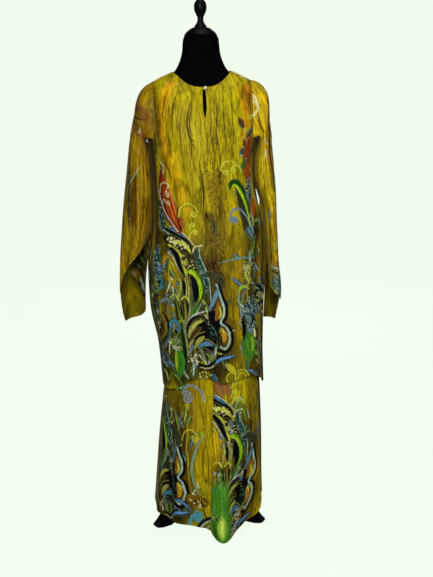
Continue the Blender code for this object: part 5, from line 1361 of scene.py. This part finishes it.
body_rows = np.interp(np.arange(485), *ROW_STEPS)
front_seam_left = seam_angles(body_rows, -1)[0]
front_seam_right = seam_angles(body_rows, 1)[0]
share = np.linspace(0, 1, SPLIT + 1)
middle_turn = split_angle(body_rows)[:, None]
left_turn = -front_seam_left[:, None] + SEAM_TURN_BODY
right_turn = front_seam_right[:, None] - SEAM_TURN_BODY
front_turn = np.hstack([left_turn + (middle_turn - left_turn) * share, middle_turn
    + (right_turn - middle_turn) * share[1:]])
tunic_face = tunic(front_turn, np.repeat(body_rows[:, None], front_turn.shape[1], 1))
tunic_across = middle_run(tunic_face * (1, 1, 0), SPLIT) + round_from_front(split_angle(body_rows),
    body_rows)[:, None]
tunic_up = cloth_up(tunic_face, 120)
neck_edge = run_of(tunic_face.transpose(1, 0, 2)).T
tunic_edge = np.minimum(neck_edge, hem_edge(front_turn, tunic_face))
slit_foot_z = KEYHOLE_HALF[0][0]
slit_near = np.hypot(tunic_face[..., 0] - tunic_face[:, SPLIT:SPLIT + 1, 0],
    np.maximum(slit_foot_z - tunic_face[..., 2], 0))
tunic_edge = np.minimum(tunic_edge, slit_near)
front_cloth = Cloth(tunic_across, tunic_up)
print_body(front_cloth)
print_front(front_cloth)
tunic_face += creased(tunic_across, tunic_up, TUNIC_CREASES)[..., None] * facing(tunic_face, 1)
left_lip = parted(tunic_face, -1.0)
right_lip = parted(tunic_face, 1.0)[:, SPLIT]
tunic_front = cut_piece("tunic_front_cloth", left_lip, 1, front_cloth, tunic_edge,
    slit=(SPLIT, KEYHOLE_FOOT_ROW, right_lip))
sew_in(tunic_front, tunic_face, "tunic_front")

back_rows = np.interp(np.arange(345), (0, 28, 84, 344), (0, 2, 9, 17))
back_left = seam_angles(back_rows, -1)[1]
back_right = seam_angles(back_rows, 1)[1]
back_start, back_end = back_right + SEAM_TURN_BODY, 360 - back_left - SEAM_TURN_BODY
back_turns, back_panel, back_round = body_grid(back_rows, back_start, back_end, 152)
back_cloth = Cloth(back_round, cloth_up(back_panel, 84))
print_body(back_cloth)
back_middle = middle_run(back_panel * (1, 1, 0), 76)
back_edge = np.minimum(run_of(back_panel.transpose(1, 0, 2)).T, hem_edge(back_turns, back_panel))
back_panel += creased(back_middle, back_panel[..., 2], BACK_CREASES)[..., None] * facing(back_panel, 1)
tunic_back = cut_piece("tunic_back_cloth", back_panel, 1, back_cloth, back_edge)
sew_in(tunic_back, back_panel, "tunic_back")

gore_rows = np.linspace(ARMPIT_ROW, HEM_ROW, 321)
for end, side in (("left", -1), ("right", 1)):
    to_front, to_back = seam_angles(gore_rows, side)
    if side > 0:
        gore_start, gore_end = to_front + SEAM_TURN_BODY, to_back - SEAM_TURN_BODY
    else:
        gore_start, gore_end = -to_back + SEAM_TURN_BODY, -to_front - SEAM_TURN_BODY
    gore_turns, gore_face, gore_round = body_grid(gore_rows, gore_start, gore_end, 44)
    gore_face[0, :, 2] -= 3 * SEAM_GAP
    gore_cloth = Cloth(gore_round, gore_face[..., 2])
    print_body(gore_cloth)
    gore_edge = hem_edge(gore_turns, gore_face)
    gore_face += creased(gore_round, gore_face[..., 2], TUNIC_CREASES)[..., None] * facing(gore_face, 1)
    gore = cut_piece("gore_" + end + "_cloth", gore_face, 1, gore_cloth, gore_edge)
    sew_in(gore, gore_face, "gore_" + end)


# ---- sleeves
# Long straight sleeves let into the armholes, each with a square of cloth folded corner to corner
# under the arm as its gusset. They hang empty, open at the cuff, closed by one seam underneath.
SLEEVE_COLUMNS = ("outer_x", "outer_z", "inner_x", "inner_z", "front", "back")
SLEEVE_LEFT = (
    (0.1503, 1.4140, 0.1680, 1.2475, 0.066, 0.066), (0.1710, 1.4020, 0.1740, 1.2435, 0.067, 0.066),
    (0.1890, 1.3820, 0.1750, 1.2320, 0.068, 0.067), (0.2010, 1.3540, 0.1740, 1.2140, 0.068, 0.067),
    (0.2085, 1.3180, 0.1650, 1.1850, 0.067, 0.066), (0.2240, 1.2400, 0.1592, 1.1350, 0.063, 0.063),
    (0.2360, 1.1450, 0.1575, 1.0850, 0.060, 0.062), (0.2480, 1.0500, 0.1582, 1.0150, 0.060, 0.062),
    (0.2570, 0.9600, 0.1660, 0.9450, 0.060, 0.062), (0.2640, 0.8600, 0.1840, 0.8600, 0.060, 0.062),
    (0.2670, 0.7700, 0.1870, 0.7700, 0.060, 0.063), (0.2620, 0.6700, 0.1770, 0.6700, 0.060, 0.064),
)
SLEEVE_RIGHT = (
    (0.1503, 1.4140, 0.1680, 1.2475, 0.066, 0.066), (0.1755, 1.4070, 0.1740, 1.2435, 0.067, 0.066),
    (0.1950, 1.3900, 0.1750, 1.2320, 0.068, 0.067), (0.2055, 1.3620, 0.1745, 1.2140, 0.069, 0.068),
    (0.2085, 1.3200, 0.1655, 1.1850, 0.069, 0.068), (0.2145, 1.2400, 0.1628, 1.1350, 0.068, 0.068),
    (0.2235, 1.1450, 0.1695, 1.0850, 0.070, 0.070), (0.2300, 1.0500, 0.1850, 1.0300, 0.074, 0.074),
    (0.2330, 0.9600, 0.1950, 0.9500, 0.078, 0.078), (0.2370, 0.8600, 0.2000, 0.8600, 0.080, 0.080),
    (0.2450, 0.7700, 0.1965, 0.7700, 0.080, 0.080), (0.2360, 0.6700, 0.1930, 0.6700, 0.078, 0.078),
)
HANG_ROW = 7             # below this section the sleeve hangs free and its rows run to the cuff
CUFF_LEFT = ((0, 0.757), (30, 0.785), (60, 0.830), (90, 0.875), (120, 0.925), (150, 0.965), (180, 0.860),
    (205, 0.715), (235, 0.685), (270, 0.668), (315, 0.662), (340, 0.700), (360, 0.757))
CUFF_RIGHT = ((0, 0.735), (45, 0.730), (90, 0.760), (135, 0.850), (165, 0.840), (195, 0.740), (225, 0.685),
    (270, 0.652), (315, 0.660), (340, 0.700), (360, 0.735))
SLEEVE_FOLDS = (
    (60, 16, -0.0040, 3.0, 11.0), (95, 14, 0.0035, 4.0, 11.0), (130, 14, -0.0035, 5.0, 11.0),
    (20, 14, 0.0030, 5.0, 11.0), (238, 16, -0.0040, 3.0, 11.0), (275, 16, 0.0035, 4.0, 11.0),
    (315, 16, -0.0035, 4.0, 11.0),
)
GUSSET_ROW = 4.0         # how far down the sleeve the gusset reaches
GUSSET_ANGLE = 29        # half its width at the armhole, in degrees round the sleeve
SLEEVE_TURN = 0.29       # a seam's gap in degrees round the sleeve
CAP_FROM, CAP_BLEND = 1.20, 0.10    # above here the print follows the tunic's, straight down
CAP_LINE = (0.187, 0.066)           # how far out and forward the sleeve's front line is there
CAP_ROUND = 0.8                     # a quarter round's length as a share of its two sides
# Where the sleeve's back half leans in behind the tunic's side: place, width, depth, and sections
# at which it starts, is full, starts to fade and is gone.
SLEEVE_LEANS = {-1: ((216, 26, 0.015, 1.2, 2.8, 7.8, 9.4),), 1: ((216, 26, 0.014, 1.2, 2.8, 5.6, 6.2),
    (216, 26, 0.012, 6.6, 7.4, 8.8, 9.6))}


def armhole(side):
    """The closed line of the armhole, from its top round the front and the gore to the back, with
    the degrees round the sleeve that each of its points stands for."""
    x = side * (ARMHOLE_X + SEAM_GAP)
    halves = []
    for which in (0, 1):
        rows = np.linspace(2, ARMPIT_ROW, 43)
        edge = tunic(side * seam_angles(rows, side)[which], rows)
        edge[:, 0] = x
        last = side * seam_angles(rows[-1:], side)[which][0]
        under = tunic(np.linspace(last, side * 90, 9), np.full(9, float(ARMPIT_ROW)))
        under[0, 0] = x
        line = np.vstack([edge[:-1], under])
        length = run_of(line[None])[0]
        halves.append((line, 180 * length / length[-1]))
    (front, at_front), (back, at_back) = halves
    return np.vstack([front, back[-2::-1]]), np.concatenate([at_front, 360 - at_back[-2::-1]])


def sleeve_surface(side):
    """The sleeve as a function: degrees round it from its outer line, and section down it. Its
    ovals blend up into the armhole's line, and end at the cuff's own heights below."""
    table, cuff = (SLEEVE_RIGHT, CUFF_RIGHT) if side > 0 else (SLEEVE_LEFT, CUFF_LEFT)
    sections = np.arange(len(table))
    last = len(table) - 1
    hole, hole_at = armhole(side)
    drop_per_section = (table[HANG_ROW][1] - table[last][1]) / (last - HANG_ROW)

    def oval(degrees, t):
        get = {name: smooth_curve(t, sections, column(table, SLEEVE_COLUMNS, name))
            for name in SLEEVE_COLUMNS}
        c, s = np.cos(np.radians(degrees)), np.sin(np.radians(degrees))
        reach_x = (get["outer_x"] - get["inner_x"]) / 2
        reach_z = (get["outer_z"] - get["inner_z"]) / 2
        half = np.hypot(reach_x, reach_z)
        radius = ring_radius(c, s, half, np.where(s >= 0, get["front"], get["back"]), SQUARENESS)
        for place, width, out, start, full in SLEEVE_FOLDS:
            near = np.exp(-(angle_between(degrees, place) / width) ** 2)
            radius = radius + out * near * ease((t - start) / (full - start))
        x = get["inner_x"] + reach_x + radius * c * reach_x / half
        z = get["inner_z"] + reach_z + radius * c * reach_z / half
        return np.stack([side * x, -radius * s, z], axis=-1)

    def surface(degrees, t):
        free = np.clip(t - HANG_ROW, 0, None) / (last - HANG_ROW)
        start_z = oval(degrees, np.minimum(t, HANG_ROW))[..., 2]
        z = start_z + (by_angle(cuff, degrees % 360) - start_z) * free
        points = oval(degrees, np.where(free > 0, HANG_ROW + (start_z - z) / drop_per_section, t))
        points[..., 2] = z
        at_hole = np.stack([np.interp(degrees % 360, hole_at, hole[:, k]) for k in range(3)], axis=-1)
        fade = 1 - ease(t / 3.0)
        return points + fade[..., None] * (at_hole - oval(degrees, np.zeros_like(t)))

    return surface


def gusset_half(t):
    """Half the angle that the gusset takes out of the sleeve at a section."""
    return GUSSET_ANGLE * np.clip(1 - t / GUSSET_ROW, 0, 1)


def leaned(side, degrees, t):
    """How far the sleeve's back half leans towards the tunic: a bell round it, eased in and out
    down it."""
    out = np.zeros(np.shape(degrees))
    for place, width, depth, start, full, fade, gone in SLEEVE_LEANS[side]:
        out += (depth * np.exp(-(angle_between(degrees, place) / width) ** 2)
            * ease((t - start) / (full - start)) * ease((gone - t) / (gone - fade)))
    return out


def round_sleeve(surface, degrees, t):
    """How far round the sleeve each point lies from its front line, positive towards +X."""
    turn = np.linspace(90, degrees, 41, axis=-1)
    ring = surface(turn, np.repeat(np.asarray(t, float)[..., None], 41, -1))
    length = np.linalg.norm(np.diff(ring, axis=-2), axis=-1).sum(-1)
    return length * np.sign(90 - degrees)


def print_left_sleeve(cloth):
    """The left sleeve: maroon and amber bands on the slant, long brown streaks, a dark cuff."""
    for points, width, colour, strength in (((-90, 1400, 0, 1200, 60, 900), 200, ink(126, 96, 8), 1.0),
            ((150, 1300, 160, 900), 160, ink(140, 116, 10), 1.0), ((-60, 1380, -20, 1330, 50, 1290), 30,
            ink(96, 50, 8), 0.6), ((-70, 1330, -30, 1280, 30, 1240), 30, ink(90, 52, 8), 0.6),
            ((-80, 1300, -60, 1270), 26, ink(206, 120, 24), 0.9), ((-50, 1220, 0, 1150, 30, 1080), 44,
            ink(150, 120, 8), 0.8), ((-30, 1120, -10, 1000, 10, 900), 38, ink(98, 66, 8), 0.8),
            ((-84, 960, -78, 860), 30, ink(215, 150, 20), 0.9), ((-20, 960, -6, 900), 40, ink(150, 128, 12),
            0.8), ((-60, 800, -40, 760), 50, ink(70, 52, 10), 0.85)):
        cloth.wash(points, width, colour, strength)
    streaks(cloth, (-130, 640), (190, 1400), 9, 11, 0.7)
    for points, width, colour in (((-76, 1372, -40, 1340, 10, 1326), 9, ink(120, 44, 12)),
            ((-84, 1346, -40, 1312, 20, 1296), 6, ink(60, 24, 10)), ((-60, 1296, -20, 1262, 26, 1250), 8,
            ink(130, 56, 12)), ((-90, 1310, -74, 1290, -62, 1266), 14, ORANGE),
            ((-86, 1200, -70, 1140, -62, 1080), 6, BROWN), ((-50, 1200, -40, 1100, -30, 960), 7, DARK),
            ((-20, 1180, -10, 1060, -4, 930), 6, BROWN), ((14, 1200, 18, 1080, 14, 960), 6, BROWN),
            ((-66, 1040, -58, 980, -60, 900), 6, DARK), ((-88, 1056, -78, 1040), 14, ORANGE),
            ((-84, 950, -76, 905, -80, 862), 12, AMBER), ((-36, 900, -30, 850, -36, 810), 9, BROWN),
            ((34, 1300, 30, 1200, 38, 1100), 5, ink(150, 96, 20)), ((-70, 820, -50, 800, -30, 790), 9,
            BLACK), ((-64, 790, -44, 776, -26, 776), 4, PALE), ((-70, 776, -46, 760, -20, 764), 9,
            ink(20, 16, 8)), ((0, 1168, -16, 1142, -45, 1103), 2.6, PALE),
            ((50, 1000, 46, 900, 54, 820), 8, ink(96, 60, 8))):
        cloth.line(points, width, colour, "leaf")
    cloth.curl(-6, 1266, 8, 90, 1.3, 1.8, CREAM, (-20, 1262))
    cloth.dots([(-56, 760)], 14, ink(150, 130, 30))
    cloth.dots([(-56, 760)], 7, BLACK)
    cloth.beads(-20, 900, 40, 90, 6, None, [DARK, BROWN], 0, 0.5, 31)
    print_figure(cloth, 160, 900, (petals, leaf))


def print_right_sleeve(cloth):
    """The right sleeve: yellow-olive with amber streaks, cream and lime curls, grey scales below, and a
    near-black band of painted shade down its upper part, over darker print.
    """
    for points, width, colour, strength in (((-60, 1400, 0, 1150, 0, 800), 240, ink(182, 154, 14), 1.0),
            ((150, 1300, 160, 900), 160, ink(150, 124, 12), 1.0), ((60, 1300, 64, 1150, 66, 1000), 40,
            ink(120, 74, 12), 0.85), ((20, 1350, 26, 1200), 34, ink(196, 150, 14), 0.9),
            ((-30, 1180, -24, 1060, -30, 940), 30, ink(208, 186, 24), 0.9),
            ((30, 980, 34, 900, 20, 840), 50, ink(158, 96, 22), 0.85), ((-10, 820, 10, 770, 30, 730), 70,
            ink(98, 110, 60), 0.8)):
        cloth.wash(points, width, colour, strength)
    streaks(cloth, (-150, 640), (190, 1400), 10, 12, 0.65)
    for points, width, colour in (((10, 1340, 16, 1240, 12, 1140), 7, AMBER),
            ((48, 1330, 54, 1230, 56, 1140), 8, ink(130, 70, 14)), ((-20, 1330, -12, 1240, -16, 1150), 5,
            BROWN), ((34, 1080, 40, 1000, 38, 900), 6, BROWN), ((-8, 1250, 2, 1232, 20, 1226), 3.4, PALE),
            ((6, 1067, 16, 1030, 18, 995, 12, 946, -4, 890), 8, LIME), ((-6, 1030, -14, 1000, -24, 973), 4,
            SKY), ((-22, 968, -16, 955, -8, 946), 9, ORANGE), ((-26, 930, -20, 880, -24, 846), 7,
            ink(60, 40, 8)), ((50, 960, 52, 900, 46, 860), 8, ink(190, 110, 30)),
            ((-30, 846, 0, 842, 30, 826, 50, 800), 5, ink(196, 200, 190)),
            ((-34, 834, 0, 828, 26, 812), 6, ink(20, 30, 24)), ((-60, 1100, -54, 1000, -60, 880), 6,
            BROWN)):
        cloth.line(points, width, colour, "leaf")
    # A near-black band of painted shade down the sleeve's upper part, standing for the deep shade beside the
    # tunic, over darker print.
    cloth.wash((24, 1345, 26, 1240, 20, 1090), 22, ink(16, 8, 6), 0.95)
    cloth.curl(-24, 1356, 14, 60, 1.5, 4.4, CREAM, (-30, 1306, -16, 1330))
    cloth.line((-40, 1362, -34, 1376, -20, 1378, -10, 1366), 3.6, ink(40, 16, 14), "leaf")
    cloth.curl(4, 1196, 10, 60, 1.2, 3, CREAM, (-12, 1180))
    cloth.beads(24, 900, 34, 110, 5.5, None, [ink(196, 120, 40), ink(110, 56, 16), AMBER], 0, 0.9, 32)
    cloth.beads(8, 796, 66, 50, 6.5, ink(60, 84, 70), [ink(150, 170, 140), PALE, TEAL, DARK], 10, 0.95, 33)
    cloth.beads(30, 764, 50, 34, 5.5, ink(34, 66, 60), [TEAL, PALE, SKY], -10, 0.9, 34)
    print_figure(cloth, 170, 980, (petals, leaf))


SLEEVE_CREASES = {-1: (((-90, 1340, -30, 1280, 20, 1240), 9, -2.4),
    ((-80, 1270, -30, 1210, 10, 1190), 9, 2.4), ((-84, 1160, -50, 1100, -10, 1080), 9, -2.2),
    ((60, 1260, 40, 1180, 30, 1100), 10, -2.6), ((-40, 1080, -34, 960, -46, 840), 9, -2.8),
    ((0, 1060, 4, 960, -4, 900), 8, 2.6), ((30, 1060, 34, 980, 40, 900), 9, -2.6),
    ((150, 1200, 146, 1050, 150, 880), 11, -3.0), ((180, 1150, 184, 1000, 178, 840), 10, 2.8),
    ((-60, 980, -66, 880, -58, 790), 7, 2.0), ((90, 1180, 60, 1150, 20, 1160), 9, 2.0)),
    1: (((90, 1340, 40, 1290, 0, 1250), 9, -2.4), ((84, 1280, 40, 1230, -6, 1210), 9, 2.2),
    ((80, 1170, 44, 1120, 6, 1110), 9, -2.0), ((-50, 1250, -40, 1170, -30, 1090), 10, -2.4),
    ((36, 1080, 32, 960, 40, 820), 10, -2.8), ((4, 1080, 0, 960, 6, 820), 9, 2.6),
    ((-26, 1060, -30, 940, -28, 860), 9, -2.6), ((64, 1000, 68, 880, 64, 780), 8, 2.2),
    ((150, 1200, 146, 1050, 150, 860), 11, -3.0), ((184, 1150, 188, 980, 180, 800), 10, 2.8)),}
for end, side, paint in (("left", -1, print_left_sleeve), ("right", 1, print_right_sleeve)):
    surface = sleeve_surface(side)
    down = np.concatenate([np.linspace(0, GUSSET_ROW, 81), np.linspace(GUSSET_ROW, 11, 213)[1:]])
    notch = gusset_half(down)[:, None]
    turn = SLEEVE_TURN * (notch > 0)
    around = 180 + notch + turn + np.linspace(0, 1, 161) * (360 - 2 * (notch + turn))
    sections = np.repeat(down[:, None], around.shape[1], 1)
    sleeve_face = surface(around, sections)
    sleeve_round = round_sleeve(surface, np.where(around > 270, around - 360, around), sections)
    sleeve_up = cloth_up(sleeve_face, sleeve_face.shape[0] - 1)
    top = ease((sleeve_face[..., 2] - CAP_FROM) / CAP_BLEND)
    plan = side * CAP_ROUND * (np.abs(sleeve_face[..., 0]) - CAP_LINE[0] + sleeve_face[..., 1] + CAP_LINE[1])
    sleeve_round += top * (side * plan - sleeve_round)
    sleeve_up += top * (sleeve_face[..., 2] - sleeve_up)
    sleeve_cloth = Cloth(side * sleeve_round, sleeve_up)
    paint(sleeve_cloth)
    cuff_table = CUFF_RIGHT if side > 0 else CUFF_LEFT
    sleeve_edge = sleeve_face[..., 2] - by_angle(cuff_table, around % 360)
    sleeve_edge = np.where(sections > HANG_ROW, sleeve_edge, 0.1)
    slack = creased(side * sleeve_round, sleeve_up, SLEEVE_CREASES[side])
    beside_body = np.exp(-(angle_between(around, 180) / 34) ** 2) * (1 - ease((sections - 6.5) / 1.5))
    slack *= ease(sections / 2) * (1 - beside_body)
    slack += leaned(side, around, sections)
    sleeve_face += slack[..., None] * facing(sleeve_face, -side)
    sleeve = cut_piece("sleeve_" + end + "_cloth", sleeve_face, -side, sleeve_cloth, sleeve_edge,
        closed_from=80)
    gusset_down = np.linspace(0, 3.55, 33)
    reach = gusset_half(gusset_down)[:, None] - SLEEVE_TURN
    gusset_around = 180 + reach * np.linspace(-1, 1, 25)
    gusset_sections = np.repeat(gusset_down[:, None], 25, 1)
    gusset_face = surface(gusset_around, gusset_sections)
    gusset_cloth = Cloth(round_sleeve(surface, gusset_around, gusset_sections), gusset_face[..., 2])
    gusset_cloth.ground[:] = ink(150, 124, 12)
    gusset_face += leaned(side, gusset_around, gusset_sections)[..., None] * facing(gusset_face, -side)
    streaks(gusset_cloth, (-260, 1100), (260, 1300), 12, 15, 0.6)
    gusset = cut_piece("gusset_" + end + "_cloth", gusset_face, -side, gusset_cloth, 0.1)
    sew_in(sleeve, sleeve_face, "sleeve_" + end)
    sew_in(gusset, gusset_face, "gusset_" + end, pointed=True)


# ---- neck button
# One jewelled button closes the keyhole at the neckline: a cut glass stone in a beaded metal
# bezel, sewn to the right lip, with a loop of twisted thread round its foot.
BUTTON_X = 0.005
BUTTON_ROW = 0.22
BUTTON_REACH = 0.08      # how far the neckline is from the middle of the body there
BUTTON_HALF_THICKNESS = 0.0030
LOOP_RADIUS = 0.0066
LOOP_WIRE = 0.0006
STONE_FACETS = 8


def jewel(name, colour, roughness, metallic):
    """Cut glass or its bezel: a clear bright surface, with faint scratches in its gloss."""
    material, tree, shader, node, ramp = shader_nodes(name)
    place = node("TexCoord").outputs["Object"]
    worn = node("TexNoise", {"Vector": place, "Scale": 900.0, "Detail": 3.0}).outputs["Fac"]
    tint = ramp(worn, (0.3, colour * 0.85), (0.7, colour))
    tree.links.new(tint, shader.inputs["Base Color"])
    tree.links.new(ramp(worn, (0.3, roughness), (0.8, roughness + 0.15)), shader.inputs["Roughness"])
    shader.inputs["Metallic"].default_value = metallic
    return material


button_turn = np.degrees(np.arcsin(BUTTON_X / BUTTON_REACH)) + np.array([[-1.0, 0.0, 1.0]] * 3)
button_rows = BUTTON_ROW + np.array([[-0.05], [0.0], [0.05]]) * np.ones((1, 3))
button_patch = tunic(button_turn, button_rows)
button_normal = facing(button_patch, 1)[1, 1]
button_spot = button_patch[1, 1] + STAND
button_side = np.cross((0, 0, 1), button_normal)
button_side /= np.linalg.norm(button_side)
button_up = np.cross(button_normal, button_side)
button_frame = np.stack([button_side, button_up, button_normal])


def on_button(spots, lift):
    """Points from the button's own axes to their place, lifted off the cloth along its normal."""
    return np.asarray(spots) @ button_frame + button_spot + button_normal * lift


def spun(profile, turns):
    """Rings of a profile of radius and height, with a point closing each end, and their faces."""
    line = np.array(profile)
    angle = np.arange(turns) * 2 * math.pi / turns
    ring = np.stack([np.cos(angle), np.sin(angle)], -1)
    spots = np.concatenate([line[:, None, :1] * ring, np.repeat(line[:, None, 1:], turns, 1)], -1)
    spots = np.vstack([spots.reshape(-1, 3), [[0, 0, line[0, 1]], [0, 0, line[-1, 1]]]])
    faces = []
    for j in range(len(line) - 1):
        faces += [(j * turns + i, j * turns + (i + 1) % turns, (j + 1) * turns + (i + 1) % turns, (j + 1)
            * turns + i) for i in range(turns)]
    foot, top = len(line) * turns, (len(line) - 1) * turns
    faces += [(foot, (i + 1) % turns, i) for i in range(turns)]
    faces += [(foot + 1, top + i, top + (i + 1) % turns) for i in range(turns)]
    return spots, faces


lift = BUTTON_HALF_THICKNESS + 2 * SEAM_GAP
stone_spots, stone_faces = spun(((0.0034, -0.0006), (0.0040, 0.0006), (0.0036, 0.0016), (0.0024, 0.0027),
    (0.0012, 0.0030)), STONE_FACETS * 2)
stone = new_piece("neck_button_stone", on_button(stone_spots, lift), stone_faces, 5)
outward(stone)
hand_in(stone, jewel("cut_glass", ink(240, 238, 226), 0.08, 0.35), "jewel")
bezel_spots, bezel_faces = spun(((0.0030, -0.0030), (0.0046, -0.0022), (0.0052, -0.0006), (0.0052, 0.0004),
    (0.0047, 0.0011), (0.0042, 0.0008), (0.0038, -0.0004)), 48)
bezel = new_piece("neck_button_bezel", on_button(bezel_spots, lift), bezel_faces, 50)
outward(bezel)
hand_in(bezel, jewel("silver_bezel", ink(214, 212, 200), 0.25, 0.9), "jewel", "neck_button")

around, strand = np.meshgrid(np.linspace(0, 2 * math.pi, 97)[:-1], np.arange(12) * math.pi / 6, indexing="ij")
wire = LOOP_WIRE * (1 + 0.18 * np.cos(3 * strand + 24 * around))
reach = LOOP_RADIUS + wire * np.cos(strand) - 0.0001
loop_spots = np.stack([reach * np.cos(around), reach * np.sin(around), wire * np.sin(strand) * 0.9], -1)
j, i = np.meshgrid(np.arange(96), np.arange(12), indexing="ij")
loop_faces = np.stack([j * 12 + i, ((j + 1) % 96) * 12 + i, ((j + 1) % 96) * 12 + (i + 1) % 12, j * 12
    + (i + 1) % 12], -1)
loop = new_piece("button_loop_thread", on_button(loop_spots.reshape(-1, 3), LOOP_WIRE + 3 * SEAM_GAP),
    loop_faces.reshape(-1, 4).tolist(), 80)
outward(loop)


def twisted_thread():
    """Olive thread: fine fibres across it in colour and in bump."""
    material, tree, shader, node, ramp = shader_nodes("twisted_thread")
    place = node("TexCoord").outputs["Object"]
    fibre = node("TexNoise", {"Vector": place, "Scale": 1500.0, "Detail": 3.0}).outputs["Fac"]
    tree.links.new(ramp(fibre, (0.3, ink(120, 98, 14)), (0.7, ink(168, 142, 30))),
        shader.inputs["Base Color"])
    tree.links.new(ramp(fibre, (0.3, 0.5), (0.7, 0.7)), shader.inputs["Roughness"])
    bump = node("Bump", {"Height": fibre, "Strength": 0.4, "Distance": 0.0002})
    tree.links.new(bump.outputs["Normal"], shader.inputs["Normal"])
    return material


hand_in(loop, twisted_thread(), "thread", "button_loop")


# ---- floor and light
# A pale floor that sweeps up far behind the stand, soft light from the front, and the camera.
FLOOR = 12.0
SWEEP_START = 3.0
SWEEP_RISE = 5.0


def pale_sweep():
    """A matt pale ground with a faint cloud in it, and a little light of its own."""
    material, tree, shader, node, ramp = shader_nodes("pale_floor")
    place = node("TexCoord").outputs["Object"]
    cloud = node("TexNoise", {"Vector": place, "Scale": 1.5, "Detail": 2.0}).outputs["Fac"]
    pale = ramp(cloud, (0.2, (0.895, 0.990, 0.868)), (0.8, (0.905, 1.000, 0.880)))
    tree.links.new(pale, shader.inputs["Emission Color"])
    shader.inputs["Base Color"].default_value = (0.03, 0.03, 0.03, 1)
    shader.inputs["Emission Strength"].default_value = 0.97
    shader.inputs["Roughness"].default_value = 0.9
    shader.inputs["Specular IOR Level"].default_value = 0.0
    return material


radii = np.concatenate([[0.002], np.linspace(0.5, SWEEP_START, 12), np.linspace(SWEEP_START, FLOOR, 24)[1:]])
heights = SWEEP_RISE * ease((radii - SWEEP_START) / (FLOOR - SWEEP_START))
turns = np.linspace(0, 2 * math.pi, 97)[:-1]
floor_spots = np.stack([radii[:, None] * np.cos(turns), radii[:, None] * np.sin(turns),
    np.repeat(heights[:, None], 96, 1)], -1)
j, i = np.meshgrid(np.arange(len(radii) - 1), np.arange(96), indexing="ij")
floor_quads = np.stack([j * 96 + i, (j + 1) * 96 + i, (j + 1) * 96 + (i + 1) % 96, j * 96 + (i + 1) % 96], -1)
floor = new_piece("pale_floor", floor_spots.reshape(-1, 3) - (0, 0, 0.0005),
    floor_quads.reshape(-1, 4).tolist() + [list(range(96))], 80)
floor.data.materials.append(pale_sweep())
floor.visible_diffuse = False
floor.visible_glossy = False

CHEST = Vector(STAND) + Vector((0, 0, 1.0))
for name, place, size, power in (("key_light", (-0.5, -3.4, 2.3), 1.6, 140),
        ("fill_light", (1.6, -3.2, 1.2), 1.6, 20), ("top_light", (0.2, -0.4, 3.8), 1.6, 26),
        ("back_light", (0.6, 3.4, 2.0), 2.4, 90)):
    lamp = bpy.data.lights.new(name, "AREA")
    lamp.shape = "DISK"
    lamp.size = size
    lamp.energy = power
    light = bpy.data.objects.new(name, lamp)
    light.location = Vector(STAND) + Vector(place)
    light.rotation_euler = (CHEST - light.location).to_track_quat("-Z", "Y").to_euler()
    bpy.context.scene.collection.objects.link(light)
world = bpy.data.worlds.new("soft_sky")
world.use_nodes = True
world.node_tree.nodes["Background"].inputs["Color"].default_value = (0.92, 1.0, 0.90, 1)
world.node_tree.nodes["Background"].inputs["Strength"].default_value = 0.08
bpy.context.scene.world = world
bpy.context.scene.view_settings.view_transform = "Standard"

CAMERA_AWAY = 2.6
CAMERA_HEIGHT = 1.25
CAMERA_DOWN = math.radians(10.5)
CAMERA_ROUND = math.radians(-4.0)
CAMERA_ROLL = math.radians(-0.8)
FOCUS_SHARE = 825 / 577
away = Vector((math.sin(CAMERA_ROUND), -math.cos(CAMERA_ROUND), 0))
ahead = -away * math.cos(CAMERA_DOWN) - Vector((0, 0, math.sin(CAMERA_DOWN)))
level = Vector((-away.y, away.x, 0))
over = level.cross(ahead)
aside = level * math.cos(CAMERA_ROLL) + over * math.sin(CAMERA_ROLL)
upright = over * math.cos(CAMERA_ROLL) - level * math.sin(CAMERA_ROLL)
lens = bpy.data.cameras.new("camera")
lens.sensor_fit = "AUTO"
lens.sensor_width = 36
lens.lens = FOCUS_SHARE * 36
lens.shift_x = 12.3 / 577
camera = bpy.data.objects.new("camera", lens)
camera.matrix_world = Matrix.Translation(Vector(STAND) + away * CAMERA_AWAY
    + Vector((0, 0, CAMERA_HEIGHT))) @ Matrix((aside, upright, -ahead)).transposed().to_4x4()
bpy.context.scene.collection.objects.link(camera)
bpy.context.scene.camera = camera
